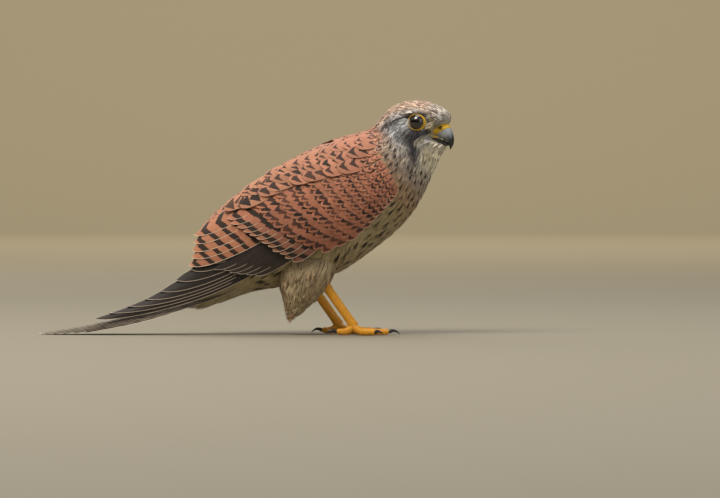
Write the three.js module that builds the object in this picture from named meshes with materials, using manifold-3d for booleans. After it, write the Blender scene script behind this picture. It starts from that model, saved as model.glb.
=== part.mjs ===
// Common kestrel at life size, standing on the ground with its head turned to its right and its
// tail laid behind it. Millimetres: the body faces +X, its left is +Y and up is +Z, from the ground
// at z = 0. While the pieces are made x = 0 is by the right foot; the finished group is centred.
import * as THREE from "three";
import Module from "manifold-3d";

const wasm = await Module();
wasm.setup();

// Driving dimensions
const GAP = 0.3; // kept between pieces that touch
const HALF_GAP = GAP / 2;
const VANE = 0.55; // thickness of a feather vane
const DETAIL = 0.06; // faces that differ by less are joined
const HEAD_TURN = THREE.MathUtils.degToRad(27); // how far the head looks to the bird's right
const HEAD_PIVOT_X = 35; // the upright axis that the head turns about
const WING_LENGTH = 244; // carpal joint to wing tip
const WING_SLOPE = THREE.MathUtils.degToRad(24); // how far the folded wing points below level
const WING_START = new THREE.Vector3(34, 0, 110); // the carpal joint, seen from the side
const TAIL_LENGTH = 158; // insertion to tip of the middle feathers
const TAIL_ROOT = new THREE.Vector3(-70, 0, 44.5); // insertion of the middle tail feathers
const TAIL_REST_SLOPE = 0.13; // slope of the middle feathers where they rest on the ground
const EYE = { x: 57.9, y: 13.0, z: 155.4, radius: 6.2 };
const FOOT_RIGHT = { x: 3, y: -15.5, z: 6.2 };
const FOOT_LEFT = { x: -8, y: 14.5, z: 6.2 };

const BODY_SIDES = 22;
const BODY_STEPS = 30;

const vec = (x, y, z) => new THREE.Vector3(x, y, z);
const smooth = (low, high, value) => THREE.MathUtils.smoothstep(value, low, high);
const mix = THREE.MathUtils.lerp;

/** Smooth value between the rows of a table whose first column is the key. */
function between(rows, key, column) {
  const last = rows.length - 1;
  let i = 0;
  while (i < last - 1 && key > rows[i + 1][0]) i++;
  const [x0, x1] = [rows[i][0], rows[i + 1][0]];
  const t = THREE.MathUtils.clamp((key - x0) / (x1 - x0), 0, 1);
  const slope = (j) => {
    const [a, b] = [Math.max(j - 1, 0), Math.min(j + 1, last)];
    return (rows[b][column] - rows[a][column]) / (rows[b][0] - rows[a][0]);
  };
  const [p0, p1, span] = [rows[i][column], rows[i + 1][column], x1 - x0];
  const [m0, m1] = [slope(i) * span, slope(i + 1) * span];
  return (
    (2 * t ** 3 - 3 * t ** 2 + 1) * p0 +
    (t ** 3 - 2 * t ** 2 + t) * m0 +
    (-2 * t ** 3 + 3 * t ** 2) * p1 +
    (t ** 3 - t ** 2) * m1
  );
}

/** A closed solid from points and triangles, turned so that its faces point out. */
function solid(points, triangles) {
  const vertProperties = new Float32Array(points.flatMap((p) => [p.x, p.y, p.z]));
  let size = 0;
  for (const [a, b, c] of triangles)
    size += points[a].dot(points[b].clone().cross(points[c]));
  const faces = size < 0 ? triangles.map(([a, b, c]) => [a, c, b]) : triangles;
  const triVerts = new Uint32Array(faces.flat());
  return new wasm.Manifold(new wasm.Mesh({ numProp: 3, vertProperties, triVerts }));
}

/** A closed solid through rings of points. A thin plate is split alike on both faces. */
function loft(rings, thin = false) {
  const count = rings[0].length;
  const points = rings.flat();
  const triangles = [];
  const at = (ring, k) => ring * count + (k % count);
  for (let r = 0; r + 1 < rings.length; r++)
    for (let k = 0; k < count; k++) {
      const [a, b, c, d] = [at(r, k), at(r, k + 1), at(r + 1, k + 1), at(r + 1, k)];
      if (thin && k >= count / 2) triangles.push([a, b, d], [b, c, d]);
      else triangles.push([a, b, c], [a, c, d]);
    }
  for (const ring of [0, rings.length - 1]) {
    const middle = points.length;
    const centre = vec(0, 0, 0);
    for (const p of rings[ring]) centre.addScaledVector(p, 1 / count);
    points.push(centre);
    for (let k = 0; k < count; k++)
      if (ring === 0) triangles.push([middle, at(ring, k + 1), at(ring, k)]);
      else triangles.push([middle, at(ring, k), at(ring, k + 1)]);
  }
  return solid(points, triangles);
}

/** Only the largest closed surface of a solid: hollows that fusing seals are filled. */
function largest(piece) {
  const bodies = piece.decompose().sort((a, b) => b.volume() - a.volume());
  return bodies[0];
}

const join = (pieces) => wasm.Manifold.union(pieces);

/** The side of a solid that a plane's normal points to, kept half a gap from the plane. */
function side(piece, point, normal) {
  const n = normal.clone().normalize();
  return piece.trimByPlane([n.x, n.y, n.z], n.dot(point) + HALF_GAP);
}

// Body, neck and head as one run of sections from the tail coverts to the base of the bill

// station, back x, back z, belly x, belly z, half width, how far the head's turn has come
const BODY = [
  [0, -112, 33, -110, 20, 9, 0],
  [1, -102, 50, -93, 25, 12.5, 0],
  [2, -92, 72, -73, 31, 17.5, 0],
  [3, -82, 90, -52, 35, 22, 0],
  [4, -68, 106, -30, 38.5, 26.5, 0],
  [5, -50, 121, -8, 46, 30, 0],
  [6, -30, 133.5, 12, 59, 32, 0],
  [7, -10, 142.5, 30, 73, 32.5, 0],
  [8, 5, 147, 44, 87, 31, 0],
  [9, 14, 150.5, 53.5, 102.5, 27.5, 0.1],
  [10, 19.5, 155, 60, 116.5, 23, 0.35],
  [11, 24, 160.5, 65, 125, 20, 0.7],
  [12, 31, 166.5, 69, 130.5, 18.3, 1],
  [13, 41, 170.8, 71.5, 133, 17.8, 1],
  [14, 52, 171.5, 73, 134.8, 17, 1],
  [15, 61, 169, 74, 136.2, 15.3, 1],
  [16, 68, 164, 74.5, 137.5, 12.5, 1],
  [17, 72, 158.5, 74.2, 138.7, 9, 1],
  [18, 73.5, 154.5, 73.4, 140, 5, 1],
];
const BODY_END = BODY.length - 1;
const EGG = 0.08; // how much wider the upper half of a section is

/** Turns a point of the head about the upright axis through the neck. */
function turned(point, share) {
  const p = point.clone().sub(vec(HEAD_PIVOT_X, 0, 0));
  p.applyAxisAngle(vec(0, 0, 1), -HEAD_TURN * share);
  return p.add(vec(HEAD_PIVOT_X, 0, 0));
}

/** A point of the body's surface: station along the body, angle from the back's midline. */
function bodyPoint(station, angle, offset = 0) {
  const [bx, bz, ux, uz, half, turn] = [1, 2, 3, 4, 5, 6].map((c) => between(BODY, station, c));
  const centre = vec((bx + ux) / 2, 0, (bz + uz) / 2);
  const up = vec(bx - ux, 0, bz - uz).multiplyScalar(0.5);
  up.setLength(up.length() + offset);
  const width = (half + offset) * Math.sin(angle) * (1 + EGG * Math.cos(angle));
  const p = centre.addScaledVector(up, Math.cos(angle)).add(vec(0, width, 0));
  return turned(p, turn);
}

/** The whole body as one solid, grown by offset all round. */
function bodySolid(offset = 0) {
  const rings = [];
  for (let i = 0; i <= BODY_STEPS; i++) {
    const ring = [];
    for (let k = 0; k < BODY_SIDES; k++)
      ring.push(bodyPoint((BODY_END * i) / BODY_STEPS, (2 * Math.PI * k) / BODY_SIDES, offset));
    rings.push(ring);
  }
  return loft(rings);
}

const NECK_PLANE = { point: vec(35, 0, 129), normal: vec(0.73, 0, 0.68) };
const HEAD_PLANE = {
  point: vec(46, 0, 146),
  normal: vec(0.69, 0, 0.726).applyAxisAngle(vec(0, 0, 1), -HEAD_TURN * 0.85),
};
const TAIL_PLANE = { point: vec(-80, 0, 42), normal: vec(0.9, 0, 0.43) };

// Wings

// along the wing, ridge height, half height, half width, lower edge, upper edge
const WING = [
  [0, 43, 35, 31, -2, 16],
  [7, 45.5, 37, 32.5, -9.5, 29],
  [20, 48.3, 42, 34.8, -15.5, 39],
  [45, 50.3, 45.4, 36.5, -24.5, 45],
  [70, 49.2, 46, 36, -26, 45.5],
  [98, 45, 44.5, 33, -22, 42.5],
  [121, 39.5, 43, 28.5, -23, 37.5],
  [146, 30, 42, 22.5, -21, 28],
  [163, 18, 34, 19, -18, 10],
  [200, 4, 16, 14.5, -12, 1],
  [244, 4.5, 5.5, 11, -1, 3],
];
const WING_ALONG = vec(-Math.cos(WING_SLOPE), 0, -Math.sin(WING_SLOPE));
const WING_UP = vec(-Math.sin(WING_SLOPE), 0, Math.cos(WING_SLOPE));

/** Angle from the ridge at which the folded wing is at a height above its long axis. */
function wingAngle(u, height) {
  const [ridge, halfHeight] = [between(WING, u, 1), between(WING, u, 2)];
  const share = THREE.MathUtils.clamp((height - ridge + halfHeight) / halfHeight, -0.95, 0.995);
  return Math.acos(share);
}

/** A point of the folded wing's outer surface. hand is -1 for the right wing and 1 for the left. */
function wingPoint(hand, u, angle, offset = 0) {
  const [ridge, halfHeight, half] = [1, 2, 3].map((c) => between(WING, u, c));
  const height = ridge - halfHeight + (halfHeight + offset) * Math.cos(angle);
  const width = (half + offset) * Math.sin(angle);
  return WING_START.clone()
    .addScaledVector(WING_ALONG, u)
    .addScaledVector(WING_UP, height)
    .add(vec(0, hand * width, 0));
}

// What carries the feathers: along the wing, lower edge, upper edge, how far below the outer surface, depth
const WING_CORE = [
  [0, -1, 8, 0, 9],
  [7, -8.5, 19, 0, 9],
  [20, -14.5, 29, 0.2, 9],
  [45, -22.5, 41, 0.6, 9],
  [70, -24, 43.5, 0.9, 8],
  [98, -20, 40, 1.8, 6],
  [116, -18, 35, 3, 4],
  [133, -17, 24, 3.6, 2.5],
];

/** The folded wing's core, under the feathers. */
function wingCore(hand) {
  const rings = [];
  const [steps, across] = [12, 6];
  for (let i = 0; i <= steps; i++) {
    const u = (WING_CORE.at(-1)[0] * i) / steps;
    const [low, high, sunk, depth] = [1, 2, 3, 4].map((c) => between(WING_CORE, u, c));
    const at = (k) => mix(wingAngle(u, high), wingAngle(u, low), k / across);
    const ring = [];
    for (let k = 0; k <= across; k++) ring.push(wingPoint(hand, u, at(k), -sunk));
    for (let k = across; k >= 0; k--) ring.push(wingPoint(hand, u, at(k), -sunk - depth));
    rings.push(ring);
  }
  return loft(rings);
}

// Share of a vane's length and of its half width there
const ROUND_TIP = [
  [0, 0.6],
  [0.4, 1],
  [0.75, 0.93],
  [0.93, 0.58],
  [1, 0.15],
];
const LONG_TIP = [
  [0, 0.7],
  [0.35, 1],
  [0.72, 0.92],
  [0.9, 0.62],
  [1, 0.12],
];

/** One feather on the folded wing. Its lower edge lies outside and its upper edge is tucked in. */
function wingVane(hand, { root, tip, half, from, to, tilt, outline, bow = 0 }) {
  const [du, dh] = [tip[0] - root[0], tip[1] - root[1]];
  const length = Math.hypot(du, dh);
  const rings = outline.map(([share, width]) => {
    const arch = 4 * bow * share * (1 - share);
    const middle = [
      root[0] + du * share - (dh / length) * arch,
      root[1] + dh * share + (du / length) * arch,
    ];
    const lift = mix(from, to, 1 - (1 - share) ** 2);
    const corner = (edge, depth) => {
      const u = middle[0] - (dh / length) * edge * half * width;
      const h = middle[1] + (du / length) * edge * half * width;
      return wingPoint(hand, u, wingAngle(u, h), lift - tilt * edge * half * width - depth);
    };
    return [corner(1, 0), corner(-1, 0), corner(-1, VANE), corner(1, VANE)];
  });
  return loft(rings, true);
}

// Tips of the primaries along the wing and above its long axis, innermost first, and their roots
const PRIMARY_TIPS = [
  [150, 7],
  [168, 5],
  [187, 0.6],
  [205, -0.6],
  [225, 0.4],
  [WING_LENGTH, 1.2],
];
const PRIMARY_ROOTS = { u: 112, inner: 6, outer: -15 };
const PRIMARY_HALF = { inner: 6.4, outer: 5.4 };

// The other tiers, outermost feathers last. Each runs evenly from its first feather to its last one:
// how many, first root, first tip, last root, last tip, half width, lift at root and tip, tilt, outline
const WING_TIERS = {
  secondaries: [3, [96, 1], [146, -4], [84, -14], [128, -18.5], 5.4, -4.2, -1.8, 0.2, LONG_TIP],
  tertials: [4, [96, 31], [149, 27], [98, 10], [162.5, 9], 7.8, -3.6, -0.8, 0.14, LONG_TIP],
  greater: [7, [88, 28], [124, 27], [62, -12], [92, -20], 5.8, -2.6, 0.3, 0.16, ROUND_TIP],
  median: [6, [66, 29], [101, 28], [38, -9], [68, -20], 6.2, -1.9, 0.8, 0.14, ROUND_TIP],
  scapulars: [5, [88, 36.5], [123, 35.5], [20, 25], [50, 31.5], 5.8, -1.6, 1.6, 0.06, ROUND_TIP],
  upper_scapulars: [3, [78, 41.5], [107, 41], [40, 38], [68, 41], 5.2, -1.2, 2.2, 0.06, ROUND_TIP],
};

/** The folded wing's flight feathers, coverts and scapulars. */
function wingFeathers(hand) {
  const feathers = PRIMARY_TIPS.map((tip, i) => {
    const t = i / (PRIMARY_TIPS.length - 1);
    return wingVane(hand, {
      root: [PRIMARY_ROOTS.u, mix(PRIMARY_ROOTS.inner, PRIMARY_ROOTS.outer, t)],
      tip,
      half: mix(PRIMARY_HALF.inner, PRIMARY_HALF.outer, t),
      from: -5.2,
      to: mix(-3, -1.6, t),
      tilt: 0.2,
      outline: LONG_TIP,
      bow: mix(-0.5, -4.5, t),
    });
  });
  for (const row of Object.values(WING_TIERS)) {
    const [count, firstRoot, firstTip, lastRoot, lastTip, half, from, to, tilt, outline] = row;
    for (let i = 0; i < count; i++) {
      const share = i / (count - 1);
      const [root, tip] = [
        [firstRoot, lastRoot],
        [firstTip, lastTip],
      ].map(([a, b]) => a.map((value, c) => mix(value, b[c], share)));
      feathers.push(wingVane(hand, { root, tip, half, from, to, tilt, outline }));
    }
  }
  return feathers;
}

// Tail

const TAIL_LAYER = 0.88; // from one tail feather to the next one below it
const TAIL_PAIRS = 6;
const TAIL_TIP_HEIGHT = 0.2;

/** Height of the middle tail feathers at a distance from their root. */
function tailHeight(s) {
  const left = TAIL_LENGTH - s;
  const rise = TAIL_ROOT.z - TAIL_TIP_HEIGHT - TAIL_REST_SLOPE * TAIL_LENGTH;
  return TAIL_TIP_HEIGHT + TAIL_REST_SLOPE * left + rise * (left / TAIL_LENGTH) ** 2;
}

/** A point of tail layer k at a distance from its root and from the midline. */
function tailPoint(k, s, y, lift = 0) {
  const arch = 0.14 * (1 - smooth(70, 135, s)) * Math.abs(y);
  return vec(TAIL_ROOT.x - s, y, tailHeight(s) - TAIL_LAYER * k - arch + lift);
}

/** One tail feather: layer 0 is the middle pair and layer 5 the outermost. */
function tailVane(hand, k) {
  const length = TAIL_LENGTH - 34 * (k / (TAIL_PAIRS - 1)) ** 1.3;
  const inner = 0.2;
  const outer = 7.5 + 1.5 * k;
  const outline = [
    [4, 0.75],
    [35, 0.9],
    [70, 1],
    [100, 1],
    [length - 10, 0.95],
    [length - 3, 0.74],
    [length, 0.36],
  ];
  const rings = outline.map(([s, width]) => {
    const [near, far] = [inner, inner + (outer - inner) * width];
    return [
      tailPoint(k, s, hand * near, VANE / 2),
      tailPoint(k, s, hand * far, VANE / 2),
      tailPoint(k, s, hand * far, -VANE / 2),
      tailPoint(k, s, hand * near, -VANE / 2),
    ];
  });
  return loft(rings, true);
}

/** The fleshy root that the tail feathers grow from. */
function tailRoot() {
  const rings = [-6, 8, 22, 36].map((s, i) => {
    const half = [9, 9, 8.5, 7][i];
    const [top, bottom] = [0.1, TAIL_LAYER * (TAIL_PAIRS - 1) + 0.9];
    return Array.from({ length: 10 }, (_, k) => {
      const angle = (2 * Math.PI * k) / 10;
      const y = half * Math.sin(angle);
      const lift = mix(-bottom, top, (1 + Math.cos(angle)) / 2);
      return tailPoint(0, s, y, lift);
    });
  });
  return loft(rings);
}

// Thighs, legs, feet and claws

const THIGH = [
  // height, x, half length, half width
  [11, -43.5, 1.6, 1.6],
  [17, -40.5, 6, 4.5],
  [26, -36.5, 12, 8],
  [36, -34, 17, 11],
  [47, -31, 20, 12],
  [56, -29, 20, 11],
];

/** The feathered thigh, from its hanging tip up into the body. */
function thighSolid(hand, offset = 0) {
  const rings = [];
  const steps = 9;
  for (let i = 0; i <= steps; i++) {
    const z = mix(THIGH[0][0], THIGH.at(-1)[0], i / steps);
    const [x, length, width] = [1, 2, 3].map((c) => between(THIGH, z, c));
    const ring = [];
    for (let k = 0; k < 12; k++) {
      const angle = (2 * Math.PI * k) / 12;
      ring.push(
        vec(
          x + (length + offset) * Math.cos(angle),
          hand * (14 + (width + offset) * Math.sin(angle)),
          z,
        ),
      );
    }
    rings.push(ring);
  }
  return loft(rings);
}

// Sides of a round limb
const SHANK_SIDES = 10;
const LIMB_SIDES = 7;
const CLAW_SIDES = 6;

/** A round limb through path points, each with a radius across and a radius up. */
function limb(path, sides) {
  const rings = path.map(({ point, along, across, high }) => {
    const a = along.clone().normalize();
    const sideways = vec(0, 0, 1).cross(a);
    if (sideways.length() < 0.2) sideways.set(0, 1, 0).cross(a);
    sideways.normalize();
    const up = a.clone().cross(sideways).normalize();
    return Array.from({ length: sides }, (_, k) => {
      const angle = (2 * Math.PI * k) / sides;
      return point
        .clone()
        .addScaledVector(sideways, across * Math.cos(angle))
        .addScaledVector(up, high * Math.sin(angle));
    });
  });
  return loft(rings);
}

const LOCK_OUTLINE = [
  [0, 0.7],
  [0.4, 1],
  [0.8, 0.62],
  [1, 0.12],
];
// how many locks, height of their roots, how far they drop, half width, part of a step round
const LOCK_TIERS = [
  [7, 41, 19, 5, 0],
  [6, 31, 17, 4.2, 0.5],
];
const LOCK_SWEEP = 4; // how far back a lock's tip goes

/** A hanging lock of the thigh's long feathers. */
function thighLock(hand, angle, top, drop, half) {
  const [x, length, width] = [1, 2, 3].map((c) => between(THIGH, top, c));
  const outward = vec(Math.cos(angle) * length, hand * Math.sin(angle) * width, 0).normalize();
  const sideways = vec(-outward.y, outward.x, 0);
  const root = vec(x + Math.cos(angle) * length, hand * (14 + Math.sin(angle) * width), top);
  const end = vec(mix(root.x, THIGH[0][1], 0.42) - LOCK_SWEEP, mix(root.y, hand * 14, 0.42), top - drop);
  const rings = LOCK_OUTLINE.map(([share, size]) => {
    const lift = mix(-1.8, 0.4, share) + 1.6 * share * (1 - share);
    const middle = root.clone().lerp(end, share).addScaledVector(outward, lift);
    const corner = (edge, depth) =>
      middle.clone().addScaledVector(sideways, edge * half * size).addScaledVector(outward, -depth);
    return [corner(-1, 0), corner(1, 0), corner(1, VANE), corner(-1, VANE)];
  });
  return loft(rings, true);
}

/** The thigh with its long hanging feathers in tiers. */
function featheredThigh(hand) {
  const locks = LOCK_TIERS.flatMap(([count, top, drop, half, turn]) =>
    Array.from({ length: count }, (_, i) => {
      const angle = ((i + turn) / count) * 2 * Math.PI;
      return thighLock(hand, angle, top, drop, half);
    }),
  );
  return join([thighSolid(hand), ...locks]);
}

const HEEL_ABOVE_FOOT = vec(-22.5, 0, 32);
const ANKLE_HEIGHT = 3; // where the shank ends, above the middle of the foot

/** The bare shank from the heel, inside the thigh feathers, down to the foot. */
function shank(foot, hand) {
  const bottom = vec(foot.x, foot.y, foot.z);
  const top = bottom.clone().add(vec(HEEL_ABOVE_FOOT.x, -hand * 1.5, HEEL_ABOVE_FOOT.z));
  const along = top.clone().sub(bottom);
  const path = [];
  for (let i = 0; i <= 8; i++) {
    const t = i / 8;
    const swell = 0.5 * (1 - smooth(0, 0.2, t)) + 0.7 * smooth(0.75, 1, t);
    path.push({
      point: bottom.clone().addScaledVector(along, t),
      along,
      across: 2.3 + swell,
      high: 3.1 + swell,
    });
  }
  return limb(path, SHANK_SIDES);
}

// name, degrees from straight ahead towards the bird's outer side, length, pads, claw length
const TOES = [
  ["middle", 2, 26, 3, 9],
  ["inner", -28, 17, 2, 8],
  ["outer", 34, 19, 4, 8],
  ["hind", 172, 13, 1, 9.5],
];
const TOE_REST = 2.1; // height of a toe's middle where it lies on the ground

/** The line of a toe from the foot's middle to its end, with the sizes of its pads. */
function toePath(foot, hand, degrees, length, pads) {
  const heading = THREE.MathUtils.degToRad(degrees) * hand;
  const ahead = vec(Math.cos(heading), Math.sin(heading), 0);
  const steps = 3 + pads * 2;
  const path = [];
  for (let i = 0; i <= steps; i++) {
    const r = length * (i / steps);
    const fall = Math.max(0, 1 - r / 8);
    const z = TOE_REST + (foot.z - TOE_REST) * fall * fall;
    const swell = 0.28 * Math.cos((2 * Math.PI * pads * i) / steps + Math.PI);
    const width = mix(2.7, 1.9, i / steps) + swell;
    path.push({
      point: vec(foot.x, foot.y, z).addScaledVector(ahead, r),
      along: ahead.clone().setZ(i === steps ? 0 : -0.9 * fall),
      across: width,
      high: width * 1.06,
    });
  }
  return { path, ahead };
}

/** A curved claw that starts a gap beyond the toe's end. */
function clawSolid(start, ahead, length) {
  const [first, last] = [THREE.MathUtils.degToRad(38), THREE.MathUtils.degToRad(-64)];
  const bend = length / (first - last);
  const path = [];
  const steps = 6;
  for (let i = 0; i <= steps; i++) {
    const heading = mix(first, last, i / steps);
    const out = bend * (Math.sin(first) - Math.sin(heading));
    const rise = bend * (Math.cos(heading) - Math.cos(first));
    const thick = mix(1.55, 0.3, (i / steps) ** 1.2);
    path.push({
      point: start.clone().addScaledVector(ahead, GAP + out).add(vec(0, 0, rise)),
      along: i === 0 ? ahead : ahead.clone().multiplyScalar(Math.cos(heading)).setZ(Math.sin(heading)),
      across: thick * 0.8,
      high: thick,
    });
  }
  return limb(path, CLAW_SIDES);
}

const onGround = (piece) => piece.trimByPlane([0, 0, 1], 0);

// Bill

// top x, top z, bottom x, bottom z, half width
const UPPER_BILL = [
  [0, 66, 156.0, 64.5, 146.2, 7.4],
  [1, 70.5, 155.8, 68.5, 145, 6.5],
  [2, 74.5, 154.6, 72, 143.6, 5.6],
  [3, 77.6, 151.8, 74.6, 142.2, 4.6],
  [4, 79.6, 147.8, 76, 141.2, 3.6],
  [5, 80.6, 143.5, 77, 139.9, 2.6],
  [6, 80.4, 139.5, 77.4, 138, 1.7],
  [7, 79.2, 137, 77.6, 136.6, 0.9],
  [8, 78.0, 135.5, 77.7, 135.5, 0.35],
];
const LOWER_BILL = [
  [0, 64.5, 145.5, 64, 141.6, 6.8],
  [1, 69, 144.1, 68.5, 140.2, 5.5],
  [2, 73, 142.4, 72.5, 138.8, 4.0],
  [3, 75.6, 140.9, 75.2, 138.0, 2.7],
  [4, 76.7, 139.6, 76.5, 138.2, 1.2],
];

const BILL_SIDES = 12;

/** Half of the bill as a run of sections, grown by offset. */
function billSolid(rows, offset = 0) {
  const rings = [];
  const steps = (rows.length - 1) * 2;
  for (let i = 0; i <= steps; i++) {
    const key = ((rows.length - 1) * i) / steps;
    const [tx, tz, bx, bz, half] = [1, 2, 3, 4, 5].map((c) => between(rows, key, c));
    const centre = vec((tx + bx) / 2, 0, (tz + bz) / 2);
    const up = vec(tx - bx, 0, tz - bz).multiplyScalar(0.5);
    up.setLength(up.length() + offset);
    const ring = [];
    for (let k = 0; k < BILL_SIDES; k++) {
      const angle = (2 * Math.PI * k) / BILL_SIDES;
      const p = centre.clone().addScaledVector(up, Math.cos(angle));
      p.y = (half + offset) * Math.sin(angle);
      ring.push(turned(p, 1));
    }
    rings.push(ring);
  }
  return loft(rings);
}

/** The right half of the head's width at a place in the head's own unturned frame. */
function headHalfWidth(x, z) {
  let [low, high] = [12, BODY_END];
  const ahead = (station) => {
    const [bx, bz, ux, uz] = [1, 2, 3, 4].map((c) => between(BODY, station, c));
    return (x - ux) * (bz - uz) - (z - uz) * (bx - ux) > 0;
  };
  for (let i = 0; i < 24; i++) {
    const middle = (low + high) / 2;
    if (ahead(middle)) low = middle;
    else high = middle;
  }
  const [bx, bz, ux, uz, half] = [1, 2, 3, 4, 5].map((c) => between(BODY, low, c));
  const share = 2 * (Math.hypot(x - ux, z - uz) / Math.hypot(bx - ux, bz - uz)) - 1;
  const angle = Math.acos(THREE.MathUtils.clamp(share, -1, 1));
  return half * Math.sin(angle) * (1 + EGG * Math.cos(angle));
}

/** A round form that follows the side of the head through places given as x, z and radius. */
function alongHead(hand, places, sunk) {
  const points = places.map(([x, z]) => vec(x, hand * (headHalfWidth(x, z) - sunk), z));
  const path = points.map((point, i) => ({
    point: turned(point, 1),
    along: turned(points[Math.min(i + 1, points.length - 1)], 1).sub(turned(points[Math.max(i - 1, 0)], 1)),
    across: places[i][2],
    high: places[i][2],
  }));
  return limb(path, LIMB_SIDES);
}

// x, z and radius along the ridge over the eye and along the corner of the mouth
const BROW = [
  [49, 160.2, 0.5],
  [54, 161.9, 1.3],
  [59, 161.9, 1.7],
  [63.5, 160.3, 1.5],
  [67, 157.6, 0.6],
];
const BROW_SUNK = 0.5;
const GAPE = [
  [69, 144.6, 0.7],
  [65, 144.6, 0.75],
  [61.5, 144.2, 0.65],
  [58.5, 144.6, 0.4],
];
const GAPE_SUNK = 0.1;

/** A sphere of the head, given by its middle in the head's own unturned frame. */
function ball(x, y, z, radius, detail) {
  const sphere = new THREE.SphereGeometry(radius, detail * 2, detail);
  sphere.deleteAttribute("uv");
  sphere.deleteAttribute("normal");
  return fromGeometry(sphere, turned(vec(x, y, z), 1));
}

/** A manifold solid from a closed three.js geometry moved to a place. */
function fromGeometry(geometry, place) {
  const position = geometry.getAttribute("position");
  const found = new Map();
  const points = [];
  const ids = [];
  for (let i = 0; i < position.count; i++) {
    const p = new THREE.Vector3().fromBufferAttribute(position, i);
    const key = [p.x, p.y, p.z].map((c) => Math.round(c * 1e4)).join();
    if (!found.has(key)) {
      found.set(key, points.length);
      points.push(p.add(place));
    }
    ids.push(found.get(key));
  }
  const triangles = [];
  for (let i = 0; i < geometry.index.count; i += 3) {
    const [a, b, c] = [0, 1, 2].map((j) => ids[geometry.index.getX(i + j)]);
    if (a !== b && b !== c && c !== a) triangles.push([a, b, c]);
  }
  return solid(points, triangles);
}

const NOSTRIL = { x: 72.8, y: 5.3, z: 151.4, radius: 1.0 };
const CERE_PLANE = {
  point: turned(vec(77.2, 0, 152.9), 1),
  normal: turned(vec(0.615 + HEAD_PIVOT_X, 0, -0.788), 1).sub(vec(HEAD_PIVOT_X, 0, 0)),
};
const LID = { radius: 5.5, tube: 0.9 };
const EYE_DETAIL = 8; // rings of a sphere from pole to pole

/** The raised lid rim round an eye, as a ring set on the side of the head. */
function lidRing(hand) {
  const ring = new THREE.TorusGeometry(LID.radius, LID.tube, 5, 14);
  ring.deleteAttribute("uv");
  ring.deleteAttribute("normal");
  ring.rotateX(Math.PI / 2);
  ring.rotateZ(-hand * 0.25);
  ring.rotateZ(-HEAD_TURN);
  return fromGeometry(ring, turned(vec(EYE.x + 0.8, hand * (EYE.y + 3.4), EYE.z), 1));
}

// Materials
const material = (color, roughness = 0.8) =>
  new THREE.MeshStandardMaterial({ color, roughness, metalness: 0 });
const looks = {
  rufous: material("#b06a4a"),
  grey: material("#9a8c80"),
  buff: material("#c9b594"),
  tail: material("#7f7770"),
  yellow: material("#e8a314", 0.5),
  horn: material("#2a2c33", 0.35),
  bill: material("#6a7080", 0.4),
  eye: material("#120c0a", 0.05),
};

const bird = new THREE.Group();

/** Adds a solid to the bird as a named mesh. */
function add(name, piece, look) {
  const mesh = largest(largest(piece).simplify(DETAIL)).getMesh();
  const positions = new Float32Array(mesh.numVert * 3);
  for (let i = 0; i < mesh.numVert; i++)
    positions.set(mesh.vertProperties.subarray(i * mesh.numProp, i * mesh.numProp + 3), i * 3);
  const geometry = new THREE.BufferGeometry();
  geometry.setAttribute("position", new THREE.BufferAttribute(positions, 3));
  geometry.setIndex(new THREE.BufferAttribute(new Uint32Array(mesh.triVerts), 1));
  geometry.computeVertexNormals();
  const made = new THREE.Mesh(geometry, look);
  made.name = name;
  bird.add(made);
}

const body = bodySolid();
const bodyRoom = bodySolid(GAP);

const upperBill = billSolid(UPPER_BILL);
const lowerBill = billSolid(LOWER_BILL);
const hands = [
  ["right", -1, FOOT_RIGHT],
  ["left", 1, FOOT_LEFT],
];

let head = side(body, HEAD_PLANE.point, HEAD_PLANE.normal);
head = join([head, ...hands.flatMap(([, hand]) => [lidRing(hand), alongHead(hand, BROW, BROW_SUNK)])]);
head = head.subtract(join(hands.map(([, hand]) => alongHead(hand, GAPE, GAPE_SUNK))));
head = head.subtract(join([billSolid(UPPER_BILL, GAP), billSolid(LOWER_BILL, GAP)]));
for (const [, hand] of hands)
  head = head.subtract(ball(EYE.x, hand * EYE.y, EYE.z, EYE.radius + GAP, EYE_DETAIL));
add("head", head, looks.grey);

const belowHead = side(body, HEAD_PLANE.point, HEAD_PLANE.normal.clone().negate());
add("neck", side(belowHead, NECK_PLANE.point, NECK_PLANE.normal), looks.grey);
const belowNeck = side(body, NECK_PLANE.point, NECK_PLANE.normal.clone().negate());
add("torso", side(belowNeck, TAIL_PLANE.point, TAIL_PLANE.normal), looks.buff);

let cere = side(upperBill, CERE_PLANE.point, CERE_PLANE.normal.clone().negate());
for (const [, hand] of hands)
  cere = cere.subtract(ball(NOSTRIL.x, hand * NOSTRIL.y, NOSTRIL.z, NOSTRIL.radius, 6));
add("cere", cere, looks.yellow);
add("bill_upper", side(upperBill, CERE_PLANE.point, CERE_PLANE.normal), looks.bill);
add("bill_lower", lowerBill, looks.bill);

const tailFeathers = hands.flatMap(([, hand]) =>
  Array.from({ length: TAIL_PAIRS }, (_, k) => tailVane(hand, k)),
);
const tail = join([body, tailRoot(), ...tailFeathers]);
add("tail", onGround(side(tail, TAIL_PLANE.point, TAIL_PLANE.normal.clone().negate())), looks.tail);

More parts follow.
